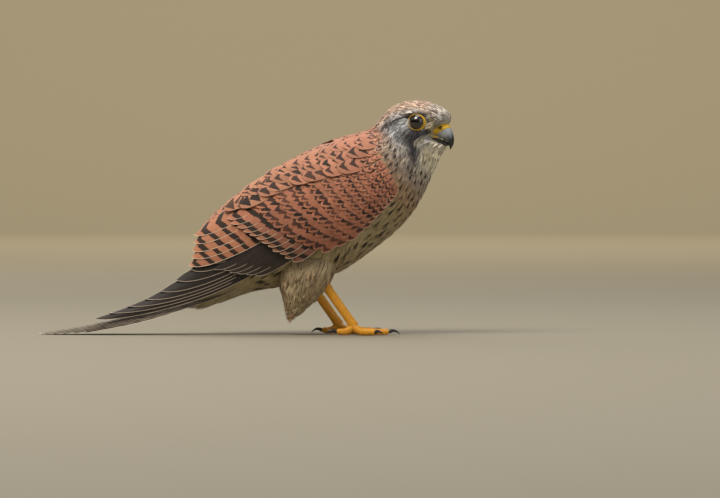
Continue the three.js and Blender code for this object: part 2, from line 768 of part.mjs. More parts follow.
for (const [name, hand, foot] of hands) {
  add("eye_" + name, ball(EYE.x, hand * EYE.y, EYE.z, EYE.radius, EYE_DETAIL), looks.eye);
  const legRoom = join([bodyRoom, thighSolid(hand, GAP)]);
  const wing = join([wingCore(hand), ...wingFeathers(hand)]);
  add("wing_" + name, wing.subtract(legRoom), looks.rufous);
  add("thigh_" + name, featheredThigh(hand).subtract(bodyRoom), looks.buff);
  const leg = shank(foot, hand);
  const ankle = vec(foot.x, foot.y, foot.z + ANKLE_HEIGHT);
  add("shank_" + name, side(leg.subtract(legRoom), ankle, HEEL_ABOVE_FOOT), looks.yellow);
  const toes = TOES.map(([, degrees, length, pads]) =>
    limb(toePath(foot, hand, degrees, length, pads).path, LIMB_SIDES),
  );
  const legEnd = side(leg, ankle, HEEL_ABOVE_FOOT.clone().negate());
  add("foot_" + name, onGround(join([legEnd, ...toes])), looks.yellow);
  for (const [toe, degrees, length, pads, claw] of TOES) {
    const { path, ahead } = toePath(foot, hand, degrees, length, pads);
    add(`claw_${name}_${toe}`, onGround(clawSolid(path.at(-1).point, ahead, claw)), looks.horn);
  }
}

// The finished bird is centred over the origin, with the ground at z = 0
const box = new THREE.Box3().setFromObject(bird);
bird.position.set(-(box.min.x + box.max.x) / 2, -(box.min.y + box.max.y) / 2, 0);

export default bird;
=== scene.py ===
"""Common kestrel at life size, a still studio model standing on a pale floor.

The bird's skin, its coat of small feathers, the flight and tail feathers, the face and the legs are
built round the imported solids. All sizes below are millimetres in the bird's own frame: the body faces
+X, its left side is +Y, and x = 0 is by the right foot. The last step of each piece turns millimetres
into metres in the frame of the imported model.
"""

from __future__ import annotations

import logging
import math
from dataclasses import dataclass, field
from enum import Enum
from typing import Any, Callable, Sequence

import bmesh
import bpy
import numpy as np
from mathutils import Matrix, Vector
from mathutils.kdtree import KDTree

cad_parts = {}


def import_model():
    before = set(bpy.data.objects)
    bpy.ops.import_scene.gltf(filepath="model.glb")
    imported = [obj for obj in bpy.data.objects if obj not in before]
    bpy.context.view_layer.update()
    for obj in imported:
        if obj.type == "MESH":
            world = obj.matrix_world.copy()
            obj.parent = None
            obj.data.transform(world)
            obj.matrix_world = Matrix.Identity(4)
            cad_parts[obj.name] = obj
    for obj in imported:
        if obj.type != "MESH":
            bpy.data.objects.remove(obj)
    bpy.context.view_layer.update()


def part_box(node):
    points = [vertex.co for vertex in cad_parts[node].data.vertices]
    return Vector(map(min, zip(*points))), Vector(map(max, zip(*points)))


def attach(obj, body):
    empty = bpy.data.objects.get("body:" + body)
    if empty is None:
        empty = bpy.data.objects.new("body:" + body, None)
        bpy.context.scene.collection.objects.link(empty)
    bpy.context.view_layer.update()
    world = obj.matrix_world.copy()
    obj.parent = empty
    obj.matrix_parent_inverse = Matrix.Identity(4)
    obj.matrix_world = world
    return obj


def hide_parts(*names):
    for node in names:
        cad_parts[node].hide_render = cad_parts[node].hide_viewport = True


Array = np.ndarray
Material = bpy.types.Material
Piece = bpy.types.Object
log = logging.getLogger("kestrel")
MM = 0.001
SIDES = {"right": -1.0, "left": 1.0}
# settings that many nodes share
SOFT_STEP = {"interpolation_type": "SMOOTHSTEP"}
OF_COLOURS = {"data_type": "RGBA"}


def linear(code: str) -> Array:
    """Turns an sRGB hex colour into linear red, green and blue.

    Args:
        code: The colour as #rrggbb.

    Returns:
        Three linear values from 0 to 1.
    """
    values = np.array([int(code[i : i + 2], 16) / 255 for i in (1, 3, 5)])
    return np.where(values <= 0.04045, values / 12.92, ((values + 0.055) / 1.055) ** 2.4)


def rgba(code: str) -> tuple[float, float, float, float]:
    """The linear colour of a hex code with full alpha."""
    return (*linear(code).tolist(), 1.0)


def smooth(low: float, high: float, value: Array | float) -> Array:
    """A smooth step from 0 at low to 1 at high."""
    t = np.clip((np.asarray(value, float) - low) / (high - low), 0, 1)
    return t * t * (3 - 2 * t)


def mix(a: Array | float, b: Array | float, t: Array | float) -> Array:
    """The value a share t of the way from a to b."""
    return np.asarray(a) + (np.asarray(b) - np.asarray(a)) * t


def unit(vectors: Array) -> Array:
    """Vectors scaled to length 1."""
    return vectors / np.maximum(np.linalg.norm(vectors, axis=-1, keepdims=True), 1e-9)


def zipped(*values: Array | float) -> Array:
    """Values side by side: a row for each place, a column for each value."""
    return np.stack(np.broadcast_arrays(*values), -1)


@dataclass(frozen=True)
class Table:
    """Smooth values between rows whose first column is the key.

    Args:
        rows: The key and its values, with keys rising.
    """

    rows: tuple[tuple[float, ...], ...]

    def at(self, key: Array | float, column: int = 1) -> Array:
        """The value of a column at a key, on a smooth curve through the rows.

        Args:
            key: The key.
            column: Which column.

        Returns:
            The value for each key.
        """
        data = np.array(self.rows, float)
        keys, values = data[:, 0], data[:, column]
        last = len(keys) - 1
        i = np.clip(np.searchsorted(keys[1:], key, side="left"), 0, last - 1)
        before, after = np.maximum(np.arange(last + 1) - 1, 0), np.minimum(np.arange(last + 1) + 1, last)
        slope = (values[after] - values[before]) / (keys[after] - keys[before])
        span = keys[i + 1] - keys[i]
        t = np.clip((key - keys[i]) / span, 0, 1)
        return (
            (2 * t**3 - 3 * t**2 + 1) * values[i]
            + (t**3 - 2 * t**2 + t) * slope[i] * span
            + (-2 * t**3 + 3 * t**2) * values[i + 1]
            + (t**3 - t**2) * slope[i + 1] * span
        )


# The surfaces that feathers grow on


class Surface:
    """A surface of the bird, with two parameters p and q and an offset outwards.

    Attributes:
        lie: 1 where feathers point towards larger p, -1 where they point towards smaller p.
        steps: Small steps of p and q for slopes.
    """

    lie: float = 1.0
    steps: tuple[float, float] = (0.3, 0.3)

    def point(self, p: Array, q: Array, offset: Array | float = 0.0) -> Array:
        """Points of the surface in millimetres."""
        raise NotImplementedError

    def slopes(self, p: Array, q: Array) -> tuple[Array, Array, Array]:
        """The surface's slopes along p and q, and its outward normal.

        Args:
            p: First parameter of each place.
            q: Second parameter of each place.

        Returns:
            The two slopes and the normal for each place.
        """
        dp, dq = self.steps
        along = (self.point(p + dp, q) - self.point(p - dp, q)) / (2 * dp)
        round_ = (self.point(p, q + dq) - self.point(p, q - dq)) / (2 * dq)
        normal = unit(np.cross(along, round_))
        out = self.point(p, q, 1.0) - self.point(p, q)
        return along, round_, normal * np.sign(np.sum(normal * out, -1, keepdims=True) + 1e-12)


def towards(along: Array, round_: Array, direction: Array) -> tuple[Array, Array]:
    """How fast p and q change on the way in a direction of the surface.

    Args:
        along: The slope along p.
        round_: The slope along q.
        direction: The direction, with its length.

    Returns:
        The changes of p and q for a step of one millimetre.
    """
    a = np.sum(along * along, -1)
    b = np.sum(along * round_, -1)
    c = np.sum(round_ * round_, -1)
    u, v = np.sum(along * direction, -1), np.sum(round_ * direction, -1)
    size = np.maximum(a * c - b * b, 1e-6)
    return (c * u - b * v) / size, (a * v - b * u) / size


@dataclass
class Body(Surface):
    """Body, neck and head as one run of sections, from the tail coverts to the base of the bill.

    p is the station and q the angle from the back's midline, positive on the bird's left.
    """

    # station, back x, back z, belly x, belly z, half width, how far the head's turn has come
    rows: Table = Table(
        (
            (-1.5, -126, 23.5, -128, 18, 5, 0),
            (0, -112, 33, -110, 20, 9, 0),
            (1, -102, 50, -93, 25, 12.5, 0),
            (2, -92, 72, -73, 31, 17.5, 0),
            (3, -82, 90, -52, 35, 22, 0),
            (4, -68, 106, -30, 38.5, 26.5, 0),
            (5, -50, 121, -8, 46, 30, 0),
            (6, -30, 133.5, 12, 59, 32, 0),
            (7, -10, 142.5, 30, 73, 32.5, 0),
            (8, 5, 147, 44, 87, 31, 0),
            (9, 14, 150.5, 53.5, 102.5, 27.5, 0.1),
            (10, 19.5, 155, 60, 116.5, 23, 0.35),
            (11, 24, 160.5, 65, 125, 20, 0.7),
            (12, 31, 166.5, 69, 130.5, 18.3, 1),
            (13, 41, 170.8, 71.5, 133, 17.8, 1),
            (14, 52, 171.5, 73, 134.8, 17, 1),
            (15, 62, 169.8, 74, 136.2, 15, 1),
            (16, 70, 166.6, 74.5, 137.3, 11.8, 1),
            (17, 75, 163.6, 74.6, 138.2, 8.4, 1),
            (18, 78, 160.6, 74.2, 139.2, 4.8, 1),
        )
    )
    egg: float = 0.08
    turn: float = math.radians(27)
    pivot: float = 35.0
    # along the brow: x, height of its ridge, how far it stands out
    brow: Table = Table(
        ((47, 159.6, 0.0), (52, 161.8, 1.0), (58, 162.4, 1.9), (64, 160.6, 1.6), (69, 157.0, 0.0))
    )
    brow_width: float = 1.7
    # hollow before the eye: x, z, size, depth
    lore: tuple[float, float, float, float] = (66.0, 154.0, 4.2, 2.3)
    # edges of the face's bare wedge: x, z, slope and the slope's cosine
    wedge_top: tuple[float, float, float, float] = (65.6, 148.7, 0.8, 0.78)
    wedge_chin: tuple[float, float, float, float] = (65.0, 142.3, -0.467, 0.906)
    wedge_start: tuple[float, float] = (62.8, 65)
    wedge_edge: tuple[float, float] = (-0.6, 0.8)
    # half width of the bare face: x, half width there, how fast it narrows, its least
    wedge_width: tuple[float, float, float, float] = (66.0, 4.3, 0.36, 0.4)
    lie: float = -1.0
    steps: tuple[float, float] = (0.02, 0.01)

    def turned(self, points: Array, share: Array | float = 1.0) -> Array:
        """Points of the head turned about the upright axis through the neck.

        Args:
            points: The points in millimetres.
            share: How far the turn has come, from 0 to 1.

        Returns:
            The turned points.
        """
        cos, sin = np.cos(self.turn * share), np.sin(self.turn * share)
        x, y = points[..., 0] - self.pivot, points[..., 1]
        return zipped(x * cos + y * sin + self.pivot, -x * sin + y * cos, points[..., 2])

    def bare(self, x: Array, z: Array) -> Array:
        """Where the face is bare for the cere and the bill, in side view before the head's turn.

        Args:
            x: How far ahead, in millimetres.
            z: How high, in millimetres.

        Returns:
            From 0, feathered, to 1, bare.
        """
        top_x, top_z, top_slope, top_cosine = self.wedge_top
        chin_x, chin_z, chin_slope, chin_cosine = self.wedge_chin
        under_brow = smooth(*self.wedge_edge, (top_z + (x - top_x) * top_slope - z) * top_cosine)
        over_chin = smooth(*self.wedge_edge, (z - chin_z - (x - chin_x) * chin_slope) * chin_cosine)
        return under_brow * over_chin * smooth(*self.wedge_start, x)

    def section(self, p: Array, q: Array, offset: Array | float = 0.0) -> tuple[Array, Array]:
        """Points before the head's turn, and how far that turn has come.

        Args:
            p: First parameter of each place.
            q: Second parameter of each place.
            offset: How far out from the surface, in millimetres.

        Returns:
            The points and the share of the turn.
        """
        bx, bz, ux, uz, half, share = (self.rows.at(p, c) for c in range(1, 7))
        up_x, up_z = (bx - ux) / 2, (bz - uz) / 2
        grown = (1 + offset / np.hypot(up_x, up_z)) * np.cos(q)
        x, z = (bx + ux) / 2 + up_x * grown, (bz + uz) / 2 + up_z * grown
        width = (half + offset) * np.sin(q) * (1 + self.egg * np.cos(q))
        ridge = self.brow.at(x, 2) * np.exp(-(((z - self.brow.at(x, 1)) / self.brow_width) ** 2))
        ridge = ridge * smooth(11.5, 12.5, p) * smooth(45, 50, x) * smooth(70, 67, x)
        width = width + np.sign(width) * ridge
        lore_x, lore_z, size, depth = self.lore
        hollow = depth * np.exp(-((x - lore_x) ** 2 + (z - lore_z) ** 2) / (2 * size**2)) * smooth(12, 13, p)
        width = np.sign(width) * np.maximum(np.abs(width) - hollow, 0.3 * np.abs(width))
        bare_x, bare_half, narrows, least = self.wedge_width
        inner = np.minimum(np.abs(width), np.maximum(bare_half - narrows * (x - bare_x), least))
        width = np.sign(width) * mix(np.abs(width), inner, self.bare(x, z))
        return zipped(x, width, z), share

    def point(self, p: Array, q: Array, offset: Array | float = 0.0) -> Array:
        """Points of the body's surface in millimetres."""
        return self.turned(*self.section(p, q, offset))


@dataclass
class WingSide(Surface):
    """The outer surface of one folded wing: p runs along the wing, q is the height above its axis."""

    hand: float
    # along the wing, ridge height, half height, half width, lower edge, upper edge
    rows: Table = Table(
        (
            (0, 43, 35, 31, -2, 16),
            (7, 45.5, 37, 32.5, -9.5, 29),
            (20, 48.3, 42, 34.8, -15.5, 39),
            (45, 50.3, 45.4, 36.5, -24.5, 45),
            (70, 49.2, 46, 36, -26, 45.5),
            (98, 45, 44.5, 33, -22, 42.5),
            (121, 39.5, 43, 28.5, -23, 37.5),
            (146, 30, 42, 22.5, -21, 28),
            (163, 18, 34, 19, -18, 10),
            (200, 4, 16, 14.5, -12, 1),
            (244, 4.5, 5.5, 11, -1, 3),
        )
    )
    start: tuple[float, float, float] = (34, 0, 110)
    slope: float = math.radians(24)
    lie: float = 1.0
    steps: tuple[float, float] = (0.4, 0.25)

    def axes(self) -> tuple[Array, Array]:
        """The directions along the wing and up across it."""
        cos, sin = math.cos(self.slope), math.sin(self.slope)
        return np.array([-cos, 0, -sin]), np.array([-sin, 0, cos])

    def point(self, p: Array, q: Array, offset: Array | float = 0.0) -> Array:
        """Points of the wing's outer surface in millimetres.

        Args:
            p: First parameter of each place.
            q: Second parameter of each place.
            offset: How far out from the surface, in millimetres.

        Returns:
            A point for each place.
        """
        ridge, half_height, half = (self.rows.at(p, c) for c in (1, 2, 3))
        angle = np.arccos(np.clip((q - ridge + half_height) / half_height, -0.95, 0.998))
        height = ridge - half_height + (half_height + offset) * np.cos(angle)
        along, up = self.axes()
        width = self.hand * (half + offset) * np.sin(angle)
        place = np.array(self.start) + np.multiply.outer(p, along) + np.multiply.outer(height, up)
        return place + np.multiply.outer(width, np.array([0, 1.0, 0]))

    def place(self, points: Array) -> tuple[Array, Array]:
        """How far along the wing and above its axis points lie, seen from the side.

        Args:
            points: The points in millimetres.

        Returns:
            p and q of each point.
        """
        from_start = points - np.array(self.start)
        along, up = self.axes()
        return from_start @ along, from_start @ up


@dataclass
class Saddle(Surface):
    """The room between the folded wings: p runs along the wings, q is the distance from the midline."""

    wing: WingSide
    sunk: float = 2.2
    lie: float = 1.0
    steps: tuple[float, float] = (0.4, 0.2)

    def point(self, p: Array, q: Array, offset: Array | float = 0.0) -> Array:
        """Points of the saddle in millimetres.

        Args:
            p: First parameter of each place.
            q: Second parameter of each place.
            offset: How far out from the surface, in millimetres.

        Returns:
            A point for each place.
        """
        ridge, half_height, half = (self.wing.rows.at(p, c) for c in (1, 2, 3))
        across = np.clip(q / half, -0.9, 0.9)
        height = ridge - half_height * (1 - np.sqrt(1 - across**2)) - self.sunk + offset
        along, up = self.wing.axes()
        place = np.array(self.wing.start) + np.multiply.outer(p, along) + np.multiply.outer(height, up)
        return place + np.multiply.outer(q + 0 * p, np.array([0, 1.0, 0]))


@dataclass
class ThighSide(Surface):
    """The feathered thigh: p is the height above the ground and q the angle round it."""

    hand: float
    # height, x, half length, half width
    rows: Table = Table(
        (
            (11, -43.5, 1.6, 1.6),
            (17, -40.5, 6, 4.5),
            (26, -36.5, 12, 8),
            (36, -34, 17, 11),
            (47, -31, 20, 12),
            (56, -29, 20, 11),
        )
    )
    middle: float = 14.0
    lie: float = -1.0
    steps: tuple[float, float] = (0.2, 0.02)

    def point(self, p: Array, q: Array, offset: Array | float = 0.0) -> Array:
        """Points of the thigh in millimetres.

        Args:
            p: First parameter of each place.
            q: Second parameter of each place.
            offset: How far out from the surface, in millimetres.

        Returns:
            A point for each place.
        """
        x, length, width = (self.rows.at(p, c) for c in (1, 2, 3))
        y = self.hand * (self.middle + (width + offset) * np.sin(q))
        return zipped(x + (length + offset) * np.cos(q), y, p + 0 * q)


@dataclass
class TailFan(Surface):
    """The closed tail: p is the distance from the feathers' roots and q the distance from the midline."""

    root: tuple[float, float, float] = (-70, 0, 44.5)
    length: float = 158.0
    rest_slope: float = 0.13
    tip_height: float = 0.2
    layer: float = 0.88
    pairs: int = 6
    lie: float = 1.0
    steps: tuple[float, float] = (0.5, 0.2)

    def height(self, p: Array) -> Array:
        """Height of the middle feathers at a distance from their roots.

        Args:
            p: The distance in millimetres.

        Returns:
            The height in millimetres.
        """
        left = self.length - p
        rise = self.root[2] - self.tip_height - self.rest_slope * self.length
        return self.tip_height + self.rest_slope * left + rise * (left / self.length) ** 2

    def point(self, p: Array, q: Array, offset: Array | float = 0.0) -> Array:
        """Points of the top of the tail in millimetres."""
        arch = 0.14 * (1 - smooth(70, 135, p)) * np.abs(q)
        return zipped(self.root[0] - p, q + 0 * p, self.height(p) - arch + offset)


# Feathers


@dataclass(frozen=True)
class Vane:
    """The form of one kind of feather.

    Args:
        outline: Share of the length and of the half width there.
        columns: Points across the top of a blade.
        rings: Sections along a blade.
        strands: Into how many strands of barbs the feather is parted.
        thick: Thickness at the shaft in millimetres.
        fray: How much shorter the shortest strand is, as a share of the length.
        spread: How far the strands part at their ends, in millimetres.
    """

    outline: Table
    columns: int = 3
    rings: int = 5
    strands: int = 1
    thick: float = 0.14
    fray: float = 0.0
    spread: float = 0.0


@dataclass
class Plumes:
    """Feathers of one surface, with one value for each feather or one for all of them.

    Args:
        roots: The roots' parameters.
        length: Length in millimetres.
        half: Half width in millimetres.
        colour: Colour of the vane.
        marks: Strength of the dark mark and of the pale fringe, the mark's size, a random phase.
        sunk: How deep the root lies under the surface.
        rise: How far the tip stands over it.
        heading: How far the feather turns aside from the lie, in radians.
        roll: How far its lower edge stands out.
        camber: How far its middle stands out.
        tips: The tips' parameters, where they are given.
        bow: How far it bows on its way to a given tip.
    """

    roots: Array
    length: Array | float
    half: Array | float
    colour: Array
    marks: Array
    sunk: Array | float
    rise: Array | float
    heading: Array | float = 0.0
    roll: Array | float = 0.0
    camber: Array | float = 0.0
    tips: Array | None = None
    bow: Array | float = 0.0

    def __post_init__(self) -> None:
        """Spreads each single value over all feathers."""
        for key in ("length", "half", "sunk", "rise", "heading", "roll", "camber", "bow"):
            setattr(self, key, np.broadcast_to(getattr(self, key), len(self.roots)))


SLIM = Table(((0, 0.5), (0.35, 1), (0.7, 0.8), (1, 0.12)))
SOFT = Table(((0, 0.55), (0.45, 1), (0.75, 0.9), (0.93, 0.55), (1, 0.2)))
ROUND = Table(((0, 0.6), (0.4, 1), (0.75, 0.95), (0.9, 0.68), (0.97, 0.38), (1, 0.08)))
LONG = Table(((0, 0.7), (0.35, 1), (0.72, 0.94), (0.88, 0.7), (0.96, 0.38), (1, 0.06)))
TAPER = Table(((0, 0.8), (0.5, 1), (0.85, 0.62), (1, 0.1)))
BACK_VANE = Vane(ROUND, columns=5, rings=9, thick=0.25)
PATCH = 0.003  # size of a small feather's patch in the map for baking


class Unwrap(Enum):
    """Where a feather's patch lies in the map for baking."""

    SKIN = "at its root's place on the unwrapped skin"
    SHEET = "on a sheet of its own"


@dataclass
class Plumage:
    """Makes the meshes of feathers from arrays.

    Args:
        shift: From the bird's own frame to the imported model's, in millimetres.
    """

    shift: Array
    roots: list[Array] = field(default_factory=list)
    colours: list[Array] = field(default_factory=list)

    def strands(self, plumes: Plumes, vane: Vane, rng: np.random.Generator) -> dict[str, Array]:
        """Each strand's feather, its edges across the feather, its reach and its drift.

        Args:
            plumes: The feathers.
            vane: Their form.
            rng: Source of the random differences.

        Returns:
            The values by name, one for each strand.
        """
        count, parts = len(plumes.length), vane.strands
        which = np.repeat(np.arange(count), parts)
        strand = np.tile(np.arange(parts), count)
        middle = (strand + 0.5) * 2 / parts - 1
        reach = 1 - vane.fray * rng.random(count * parts) if parts > 1 else np.ones(count)
        drift = vane.spread * (0.6 * rng.standard_normal(count * parts) + middle)
        margin = 1.0 / parts if parts == 1 else 1.2 / parts
        return {
            "which": which,
            "low": middle - margin,
            "high": middle + margin,
            "reach": reach,
            "drift": drift if parts > 1 else np.zeros(count),
        }

    def path(self, surface: Surface, plumes: Plumes, which: Array, reach: Array, shares: Array) -> tuple:
        """Walks each strand over the surface.

        Args:
            surface: What the feathers grow on.
            plumes: The feathers.
            which: Each strand's feather.
            reach: The share of the feather's length that each strand has.
            shares: Shares of a strand's length where it has a section.

        Returns:
            p, q and how p and q change across the feather, for each strand and section, and normals.
        """
        p, q = plumes.roots[which, 0].copy(), plumes.roots[which, 1].copy()
        heading, length = plumes.heading[which], plumes.length[which] * reach
        found: list[tuple[Array, ...]] = []
        for i, share in enumerate(shares):
            if plumes.tips is not None:
                end = plumes.tips[which] - plumes.roots[which]
                t = share * reach
                across = zipped(-end[:, 1], end[:, 0]) / np.linalg.norm(end, axis=1, keepdims=True)
                arch = (4 * plumes.bow[which] * t * (1 - t))[:, None]
                p, q = (plumes.roots[which] + end * t[:, None] + across * arch).T
            along, round_, normal = surface.slopes(p, q)
            lie = unit(along * surface.lie)
            side = unit(round_ - lie * np.sum(round_ * lie, -1, keepdims=True))
            if plumes.tips is not None:
                step = (1 - 2 * t)[:, None] * 4 * plumes.bow[which][:, None] * across
                ahead = unit(along * (end + step)[:, :1] + round_ * (end + step)[:, 1:])
            else:
                ahead = lie * np.cos(heading)[:, None] + side * np.sin(heading)[:, None]
            side = unit(side - ahead * np.sum(side * ahead, -1, keepdims=True))
            found.append((p, q, *towards(along, round_, side), normal))
            if plumes.tips is None and i + 1 < len(shares):
                dp, dq = towards(along, round_, ahead)
                step_length = length * (shares[i + 1] - share)
                p, q = p + dp * step_length, q + dq * step_length
        return tuple(np.stack([f[k] for f in found], 1) for k in range(5))

    def grow(
        self,
        name: str,
        surface: Surface,
        plumes: Plumes,
        vane: Vane,
        unwrap: Unwrap = Unwrap.SKIN,
        seed: int = 1,
    ) -> Piece:
        """Makes one piece from the feathers of a surface.

        Args:
            name: The piece's name.
            surface: What the feathers grow on.
            plumes: The feathers.
            vane: Their form.
            unwrap: Where their patches lie in the map for baking.
            seed: Seed of the strands' differences.

        Returns:
            The piece, at the origin, in metres.
        """
        rng = np.random.default_rng(seed)
        cut = self.strands(plumes, vane, rng)
        which, reach = cut["which"], cut["reach"]
        total, rings, columns = len(which), vane.rings, vane.columns
        shares = 1 - (1 - np.linspace(0, 1, rings)) ** 1.35
        p, q, dp, dq, normal = self.path(surface, plumes, which, reach, shares)

        x = np.linspace(-1, 1, columns)
        column = np.concatenate([np.arange(columns), np.arange(columns - 2, 0, -1)])
        face = np.concatenate([np.ones(columns), -np.ones(columns - 2)])
        x = x[column]
        lens = (1 - x**2) * face
        feather_share = shares[None, :] * reach[:, None]
        half = plumes.half[which][:, None] * vane.outline.at(feather_share)
        middle, span = (cut["low"] + cut["high"]) / 2, (cut["high"] - cut["low"]) / 2
        narrow = TAPER.at(shares) if vane.strands > 1 else np.ones(rings)
        across = middle[:, None, None] + span[:, None, None] * x * narrow[None, :, None]
        mm = across * half[:, :, None] + (cut["drift"][:, None] * shares**2)[:, :, None]
        ease = 1 - (1 - feather_share) ** 2
        lift = mix(-plumes.sunk[which][:, None], plumes.rise[which][:, None], ease)[:, :, None]
        lift = lift + plumes.camber[which][:, None, None] * (1 - across**2)
        lift = lift - plumes.roll[which][:, None, None] * across * (0.3 + 0.7 * feather_share[:, :, None])
        body = vane.thick * np.minimum(1, 0.35 + 1.6 * (1 - shares))
        lift = lift + 0.5 * lens * body[None, :, None]
        place = (p[:, :, None] + dp[:, :, None] * mm, q[:, :, None] + dq[:, :, None] * mm)
        points = surface.point(*place, lift)

        size = rings * len(x)
        ids = np.arange(size).reshape(rings, len(x))
        nexts = np.roll(ids, -1, 1)
        quads = zipped(ids[:-1], nexts[:-1], nexts[1:], ids[1:]).reshape(-1, 4)
        top = np.cross(points[:, 1, 1] - points[:, 1, 0], points[:, 2, 0] - points[:, 1, 0])
        if np.median(np.sum(top * normal[:, 1], -1)) < 0:
            quads = quads[:, ::-1]
            caps = [ids[0], ids[-1][::-1]]
        else:
            caps = [ids[0][::-1], ids[-1]]
        loops = np.concatenate([quads.ravel(), *caps])
        counts = np.concatenate([np.full(len(quads), 4), np.full(2, len(x))])
        starts = np.concatenate([[0], np.cumsum(counts)[:-1]])
        all_loops = (loops[None] + size * np.arange(total)[:, None]).ravel()
        all_starts = (starts[None] + len(loops) * np.arange(total)[:, None]).ravel()

        mesh = bpy.data.meshes.new(name)
        mesh.vertices.add(total * size)
        metres = (points.reshape(-1, 3) + self.shift) * MM
        mesh.vertices.foreach_set("co", metres.astype(np.float32).ravel())
        mesh.loops.add(len(all_loops))
        mesh.loops.foreach_set("vertex_index", all_loops.astype(np.int32))
        mesh.polygons.add(len(all_starts))
        mesh.polygons.foreach_set("loop_start", all_starts.astype(np.int32))
        mesh.update(calc_edges=True)
        mesh.shade_smooth()
        mesh.set_sharp_from_angle(angle=math.radians(70))

        length = plumes.length[which][:, None]
        back = np.broadcast_to((length * (1 - feather_share))[:, :, None], mm.shape)
        edge = np.minimum((1 - np.abs(across)) * half[:, :, None], back)
        vane_map = zipped(across * half[:, :, None] / 100, back / 100).reshape(-1, 2)
        self.add_map(mesh, "Vane", vane_map, all_loops)
        patches = self.bake_map(plumes, which, across, feather_share, unwrap)
        self.add_map(mesh, "OFBake", patches, all_loops)
        colour = np.concatenate([plumes.colour, np.ones((len(plumes.colour), 1))], 1)
        for key, values in (("plumage", colour), ("marks", plumes.marks)):
            spread = np.broadcast_to(values[which][:, None, None], (*mm.shape, 4)).reshape(-1, 4)
            layer = mesh.attributes.new(key, "FLOAT_COLOR", "POINT")
            layer.data.foreach_set("color", np.ascontiguousarray(spread, np.float32).ravel())
        layer = mesh.attributes.new("edge", "FLOAT", "POINT")
        layer.data.foreach_set("value", edge.astype(np.float32).ravel())
        self.roots.append(points[:, 0, 0])
        self.colours.append(plumes.colour[which])
        piece = bpy.data.objects.new(name, mesh)
        bpy.context.scene.collection.objects.link(piece)
        triangles = total * (len(quads) * 2 + 2 * len(x) - 4)
        log.info("%s: %d feathers, %d triangles", name, len(plumes.length), triangles)
        return piece
        return piece

    @staticmethod
    def add_map(mesh: bpy.types.Mesh, name: str, values: Array, loops: Array) -> None:
        """Adds a UV map from one value for each vertex."""
        layer = mesh.uv_layers.new(name=name)
        layer.data.foreach_set("uv", values[loops].astype(np.float32).ravel())

    @staticmethod
    def bake_map(plumes: Plumes, which: Array, across: Array, share: Array, unwrap: Unwrap) -> Array:
        """The map for baking: one small patch for each feather.

        Args:
            plumes: The feathers.
            which: Each strand's feather.
            across: Where each point lies across its feather, from -1 to 1.
            share: Where each section lies along its feather, from 0 to 1.
            unwrap: Where the patches lie.

        Returns:
            Two map coordinates for each vertex.
        """
        along = np.broadcast_to(share[:, :, None], across.shape)
        if unwrap is Unwrap.SHEET:
            count = len(plumes.length)
            rows = math.ceil(math.sqrt(count))
            cell = zipped(which % rows, which // rows)[:, None, None, :] / rows
            inside = zipped((across + 1) / 2, along)
            return (cell + (0.06 + 0.88 * inside) / rows).reshape(-1, 2)
        low, high = plumes.roots.min(0), plumes.roots.max(0)
        root = 0.01 + 0.98 * ((plumes.roots - low) / np.maximum(high - low, 1e-6))[which]
        inside = zipped(across, along * 2 - 1) * PATCH / 2
        return (root[:, None, None, ::-1] + inside).reshape(-1, 2)


def scatter(
    surface: Surface,
    low: tuple[float, float],
    high: tuple[float, float],
    spacing: Callable[[Array, Array], Array],
    keep: Callable[[Array, Array, Array], Array],
    tries: int,
    seed: int,
) -> Array:
    """Spreads roots evenly over a surface, no two closer than their spacing.

    Args:
        surface: Where they go.
        low: Lowest p and q.
        high: Highest p and q.
        spacing: The least distance to the next root in millimetres.
        keep: Whether a place may carry a feather, from p, q and its point.
        tries: How many places are tried.
        seed: Seed of the draw.

    Returns:
        The parameters of the roots.
    """
    rng = np.random.default_rng(seed)
    p, q = rng.uniform(low[0], high[0], tries), rng.uniform(low[1], high[1], tries)
    points = surface.point(p, q)
    gap = spacing(p, q)
    along, round_, _ = surface.slopes(p, q)
    weight = np.linalg.norm(np.cross(along, round_), axis=-1) / gap**2
    open_ = keep(p, q, points) & (rng.random(tries) < weight / np.percentile(weight, 97))
    p, q, points, gap = p[open_], q[open_], points[open_], gap[open_]
    cell = float(gap.max())
    cells = np.floor(points / cell).astype(int).tolist()
    places, least = points.tolist(), gap.tolist()
    around = [(a, b, c) for a in (-1, 0, 1) for b in (-1, 0, 1) for c in (-1, 0, 1)]
    grid: dict[tuple[int, int, int], list[int]] = {}
    kept: list[int] = []
    for i, (cx, cy, cz) in enumerate(cells):
        near = (j for a, b, c in around for j in grid.get((cx + a, cy + b, cz + c), ()))
        if all(math.dist(places[j], places[i]) > least[i] for j in near):
            grid.setdefault((cx, cy, cz), []).append(i)
            kept.append(i)
    return zipped(p[kept], q[kept])


# Finishes


def add_node(tree: Any, kind: str, links: dict[Any, Any] | None = None, **settings: Any) -> Any:
    """Adds a shader node with its settings and links.

    Args:
        tree: The node tree.
        kind: The node's type, without the words all types begin with.
        links: For each input, a value, a node whose first output feeds it, or an output.
        **settings: The node's properties.

    Returns:
        The node.
    """
    node = tree.nodes.new("ShaderNode" + kind)
    for key, value in settings.items():
        setattr(node, key, value)
    for key, value in (links or {}).items():
        target = node.inputs[key]
        if isinstance(value, bpy.types.Node):
            tree.links.new(value.outputs[0], target)
        elif isinstance(value, bpy.types.NodeSocket):
            tree.links.new(value, target)
        else:
            target.default_value = value
    return node


def new_material(name: str) -> tuple[Any, Any]:
    """An empty material with its node tree and an output.

    Args:
        name: Its name.

    Returns:
        The material and its node tree.
    """
    material = bpy.data.materials.new(name)
    material.use_nodes = True
    material.node_tree.nodes.clear()
    return material, material.node_tree


class Mark(Enum):
    """The dark mark of a feather."""

    NONE = "plain"
    ARROW = "an arrowhead that points to the tip"
    BARS = "bars across the vane"
    DROP = "a drop on the shaft with a streak behind it"
    STREAK = "a narrow streak along the shaft"


